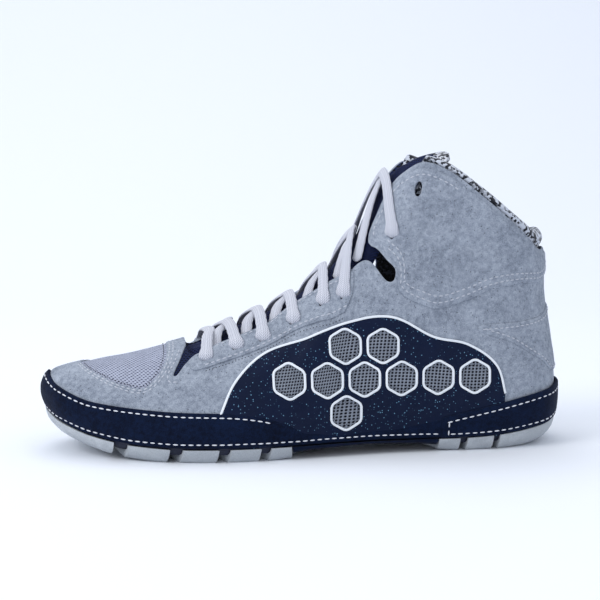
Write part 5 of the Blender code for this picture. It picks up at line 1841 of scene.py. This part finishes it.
    def honeycomb(self) -> None:
        """Raised hexagons with a stud, in the pockets of the tread."""
        cell = bmesh.new()
        bmesh.ops.create_circle(cell, cap_ends=True, segments=6, radius=self.hex_pitch * 0.52)
        top = bmesh.ops.extrude_face_region(cell, geom=cell.faces[:])["geom"]
        bmesh.ops.translate(cell, verts=picked(top, bmesh.types.BMVert), vec=(0, 0, -self.hex_height))
        face = picked(top, bmesh.types.BMFace)
        bmesh.ops.inset_region(cell, faces=face, thickness=self.hex_border)
        bmesh.ops.translate(cell, verts=face[0].verts[:], vec=(0, 0, self.hex_border))
        bmesh.ops.create_cone(
            cell, cap_ends=True, segments=8, radius1=0.0007, radius2=0.0009, depth=0.0009,
            matrix=Matrix.Translation((0, 0, -0.00025)),
        )
        mesh = bpy.data.meshes.new("cell")
        cell.to_mesh(mesh)
        cell.free()
        rows, columns = 12, 58
        spots = np.array([
            ((column + 0.5 * (row % 2)) * self.hex_pitch, row * self.hex_pitch * math.sqrt(3) / 2)
            for row in range(-rows, rows + 1)
            for column in range(columns)
        ])
        inside = within(self.tread_ring(), spots)
        fore, heel = (np.interp(spots[:, 1], *plan(line).T[::-1]) for line in (FOREFOOT_REAR, HEEL_FRONT))
        margin, open_floor = 0.003, 0.0044
        rubber = (spots[:, 0] > fore + margin) | (spots[:, 0] < heel - margin)
        use = inside & rubber & (self.clear(spots) > open_floor)
        bm = bmesh.new()
        for run, y in spots[use]:
            first = len(bm.verts)
            bm.from_mesh(mesh)
            bm.verts.ensure_lookup_table()
            slope = (float(LAST.rise(run + 0.001)) - float(LAST.rise(run - 0.001))) / 0.002
            middle = Vector((LAST.flip(run), y, float(LAST.rise(run)) + self.pocket + 0.0001))
            for vert in bm.verts[first:]:
                vert.co = middle + vert.co - Vector((0, 0, slope * vert.co.x))
        placed(closed_object("tread_cells", bm, [self.finishes.rubber]), Finish.GREY_RUBBER)

    def arch(self) -> None:
        """Navy suede over the waist, with its plug and white stitches."""
        piece = self.cup("arch_wrap", self.wrap, self.finishes.navy, False)
        gap = np.array((self.plug_gap, 0))
        rear, front = resampled(plan(FOREFOOT_REAR), 0.002) - gap, resampled(plan(HEEL_FRONT), 0.002) + gap
        plug = resampled(plan(PLUG), 0.002, True, True)
        steps = [
            ("INTERSECT", self.cutter([np.concatenate([rear, front[::-1]])])),
            ("DIFFERENCE", self.cutter([scaled_about(plug, self.plug_gap)])),
        ]
        self.cut(piece, steps, 0.0004)
        placed(piece, Finish.NAVY_SUEDE, "arch_wrap")
        bm = bmesh.new()
        top = self.outsole - 0.0004
        face = bm.faces.new([bm.verts.new((LAST.flip(r), y, float(LAST.rise(r)) + top)) for r, y in plug])
        grown = bmesh.ops.extrude_face_region(bm, geom=[face])["geom"]
        verts = picked(grown, bmesh.types.BMVert)
        bmesh.ops.translate(bm, verts=verts, vec=(0, 0, -0.0023))
        top = picked(grown, bmesh.types.BMFace)
        for _ in range(2):
            bmesh.ops.inset_region(bm, faces=top, thickness=0.0009, depth=0.0)
            bmesh.ops.translate(bm, verts=top[0].verts[:], vec=(0, 0, -0.00025))
        placed(closed_object("arch_plug", bm, [self.finishes.rubber]), Finish.GREY_RUBBER, "arch_plug")
        thread = Stitching("arch_stitches", self.finishes.thread_white, 0.0026, 0.0012, 0.00036)
        under = self.outsole - self.wrap
        ring = scaled_about(np.concatenate([plug, plug[:1]]), 0.0032)
        inset, wide, narrow = np.array((0.0026, 0)), 0.036, 0.025
        for line, reach in ((rear - inset, wide), (front + inset, narrow), (ring, wide)):
            keep = line[np.abs(line[:, 1]) < reach]
            path = np.stack([LAST.flip(keep[:, 0]), keep[:, 1], LAST.rise(keep[:, 0]) + under], axis=1)
            thread.dashes(path, np.tile((0.0, 0.0, -1.0), (len(path), 1)))
        placed(thread.build(), Finish.NAVY_SUEDE)

    def midsole(self) -> None:
        """Navy foam behind the grooves."""
        halves = []
        for s in self.halves():
            side = self.edge(s, 0.0004)
            level = LAST.feather(LAST.flip(side[:, 0]))
            low = np.minimum(level - 0.001, eased(RAND_LINE, LAST.mirrored(s)) * LAST.height - self.gap)
            bottom = self.ground(s, self.outsole)
            wall, top = side.copy(), side.copy()
            wall[:, 2], top[:, 2] = low, level
            rows = [wall + (bottom - wall) * share for share in np.linspace(0, 1, 5)]
            halves.append(np.stack([top, *rows], axis=1))
        t = np.linspace(0, 1, 12)[1:-1, None]
        under = halves[0][:, -1:] * (1 - t) + halves[1][:, -1:] * t
        spots = np.concatenate([halves[0], under, halves[1][:, ::-1]], axis=1)
        bm = bmesh.new()
        grid_skin(bm, spots)
        bmesh.ops.remove_doubles(bm, verts=bm.verts, dist=WELD)
        bmesh.ops.holes_fill(bm, edges=free_edges(bm), sides=0)
        bmesh.ops.triangulate(bm, faces=[f for f in bm.faces if len(f.verts) > 4])
        placed(closed_object("midsole", bm, [self.finishes.foam]), Finish.NAVY_FOAM, "midsole")

    def insole(self) -> None:
        """Sock liner with a soft edge that lies on the midsole."""
        a, b = (self.edge(p, self.insole_inset) for p in self.halves())
        t = np.linspace(0, 1, 34)[:, None]
        spots = a[:, None] * (1 - t) + b[:, None] * t
        base = LAST.feather(LAST.flip(spots[:, :, 0]))
        edge = np.minimum(t[:, 0], 1 - t[:, 0])[None, :] * np.linalg.norm(a - b, axis=1)[:, None]
        crown = np.sqrt(np.clip(1 - (1 - np.minimum(1, edge / 0.003)) ** 2, 0, 1))
        low, high = spots.copy(), spots.copy()
        low[:, :, 2] = base + 0.0004
        high[:, :, 2] = base + 0.0005 + self.insole_wall * crown
        bm = bmesh.new()
        for spots, flip in ((high, False), (low, True)):
            grid_skin(bm, spots, flip=flip)
        bmesh.ops.remove_doubles(bm, verts=bm.verts, dist=WELD)
        bmesh.ops.bridge_loops(bm, edges=free_edges(bm))
        piece = closed_object("insole", bm, [self.finishes.sock])
        placed(piece, Finish.MOTTLED_KNIT, "insole")

    def build(self) -> None:
        """Makes every piece of the sole."""
        self.midsole()
        self.insole()
        self.rubber("outsole_forefoot", FOREFOOT_REAR, 1.1 * LAST.length, True)
        self.rubber("outsole_heel", HEEL_FRONT, -0.1 * LAST.length, False)
        self.arch()
        self.honeycomb()


@dataclass
class Studio:
    """Pale floor, soft lights and the camera at the photo's angle."""

    eye: tuple[float, float, float] = (-0.0926, -0.7543, 0.164)
    aim: tuple[float, float, float] = (-0.0015, 0.0, 0.0790)
    lens: float = 84.0
    floor: float = 5.0
    bend_start: float = 0.6
    bend: float = 1.6

    LIGHTS = [
        ("key", (-1.5, -0.8, 1.3), 1.0, 17), ("fill", (1.2, -1.2, 0.9), 1.4, 1),
        ("top", (-0.2, 0.5, 1.8), 1.2, 9),
    ]
    LIGHTS_AIM = (0, 0, 0.06)

    @staticmethod
    def hang(name: str, data: bpy.types.ID, place: Row, aim: Row) -> Piece:
        """Adds a lamp or camera that looks from a place at a point."""
        made = bpy.data.objects.new(name, data)
        made.location = place
        made.rotation_euler = (Vector(aim) - Vector(place)).to_track_quat("-Z", "Y").to_euler()
        bpy.context.scene.collection.objects.link(made)
        return made

    def build(self) -> None:
        """Makes the floor, world, lights and camera."""
        bm = bmesh.new()
        made = bmesh.ops.create_grid(bm, x_segments=2, y_segments=120, size=self.floor)["verts"]
        for vert in made:
            beyond = max(0.0, vert.co.y - self.bend_start)
            turn = min(beyond / self.bend, math.pi / 2)
            vert.co.y -= beyond
            vert.co.y += self.bend * math.sin(turn)
            vert.co.z += self.bend * (1 - math.cos(turn)) + max(0.0, beyond - self.bend * math.pi / 2)
        paint = bpy.data.materials.new("floor_paint")
        paint.use_nodes = True
        shader = paint.node_tree.nodes["Principled BSDF"]
        shader.inputs["Base Color"].default_value = grey(232, 236, 243)
        shader.inputs["Roughness"].default_value = 0.9
        new_object("floor", bm, [paint])
        world = bpy.data.worlds.new("studio")
        world.use_nodes = True
        sky = world.node_tree.nodes["Background"]
        sky.inputs["Color"].default_value = (0.86, 0.90, 0.97, 1)
        sky.inputs["Strength"].default_value = 0.92
        bpy.context.scene.world = world
        bpy.context.scene.view_settings.view_transform = "Standard"
        for name, place, size, power in self.LIGHTS:
            light = bpy.data.lights.new(name, "AREA")
            light.size, light.energy = size, power
            self.hang(name, light, place, self.LIGHTS_AIM)
        camera = bpy.data.cameras.new("camera")
        camera.lens = self.lens
        camera.clip_start = 0.01
        bpy.context.scene.camera = self.hang("camera", camera, self.eye, self.aim)


def main() -> None:
    """Builds the dressed shoe piece by piece."""
    logging.basicConfig(level=logging.INFO, format="%(relativeCreated)d %(message)s")
    finishes = Finishes()
    upper = Upper(finishes)
    for step in (upper.sleeve, upper.leather, upper.layers, upper.rand, upper.seams):
        step()
    Cage(finishes).build()
    Tongue(finishes).build()
    Collar(finishes).build()
    Laces(finishes).build()
    Sole(finishes).build()
    Studio().build()


if __name__ == "__main__":
    main()
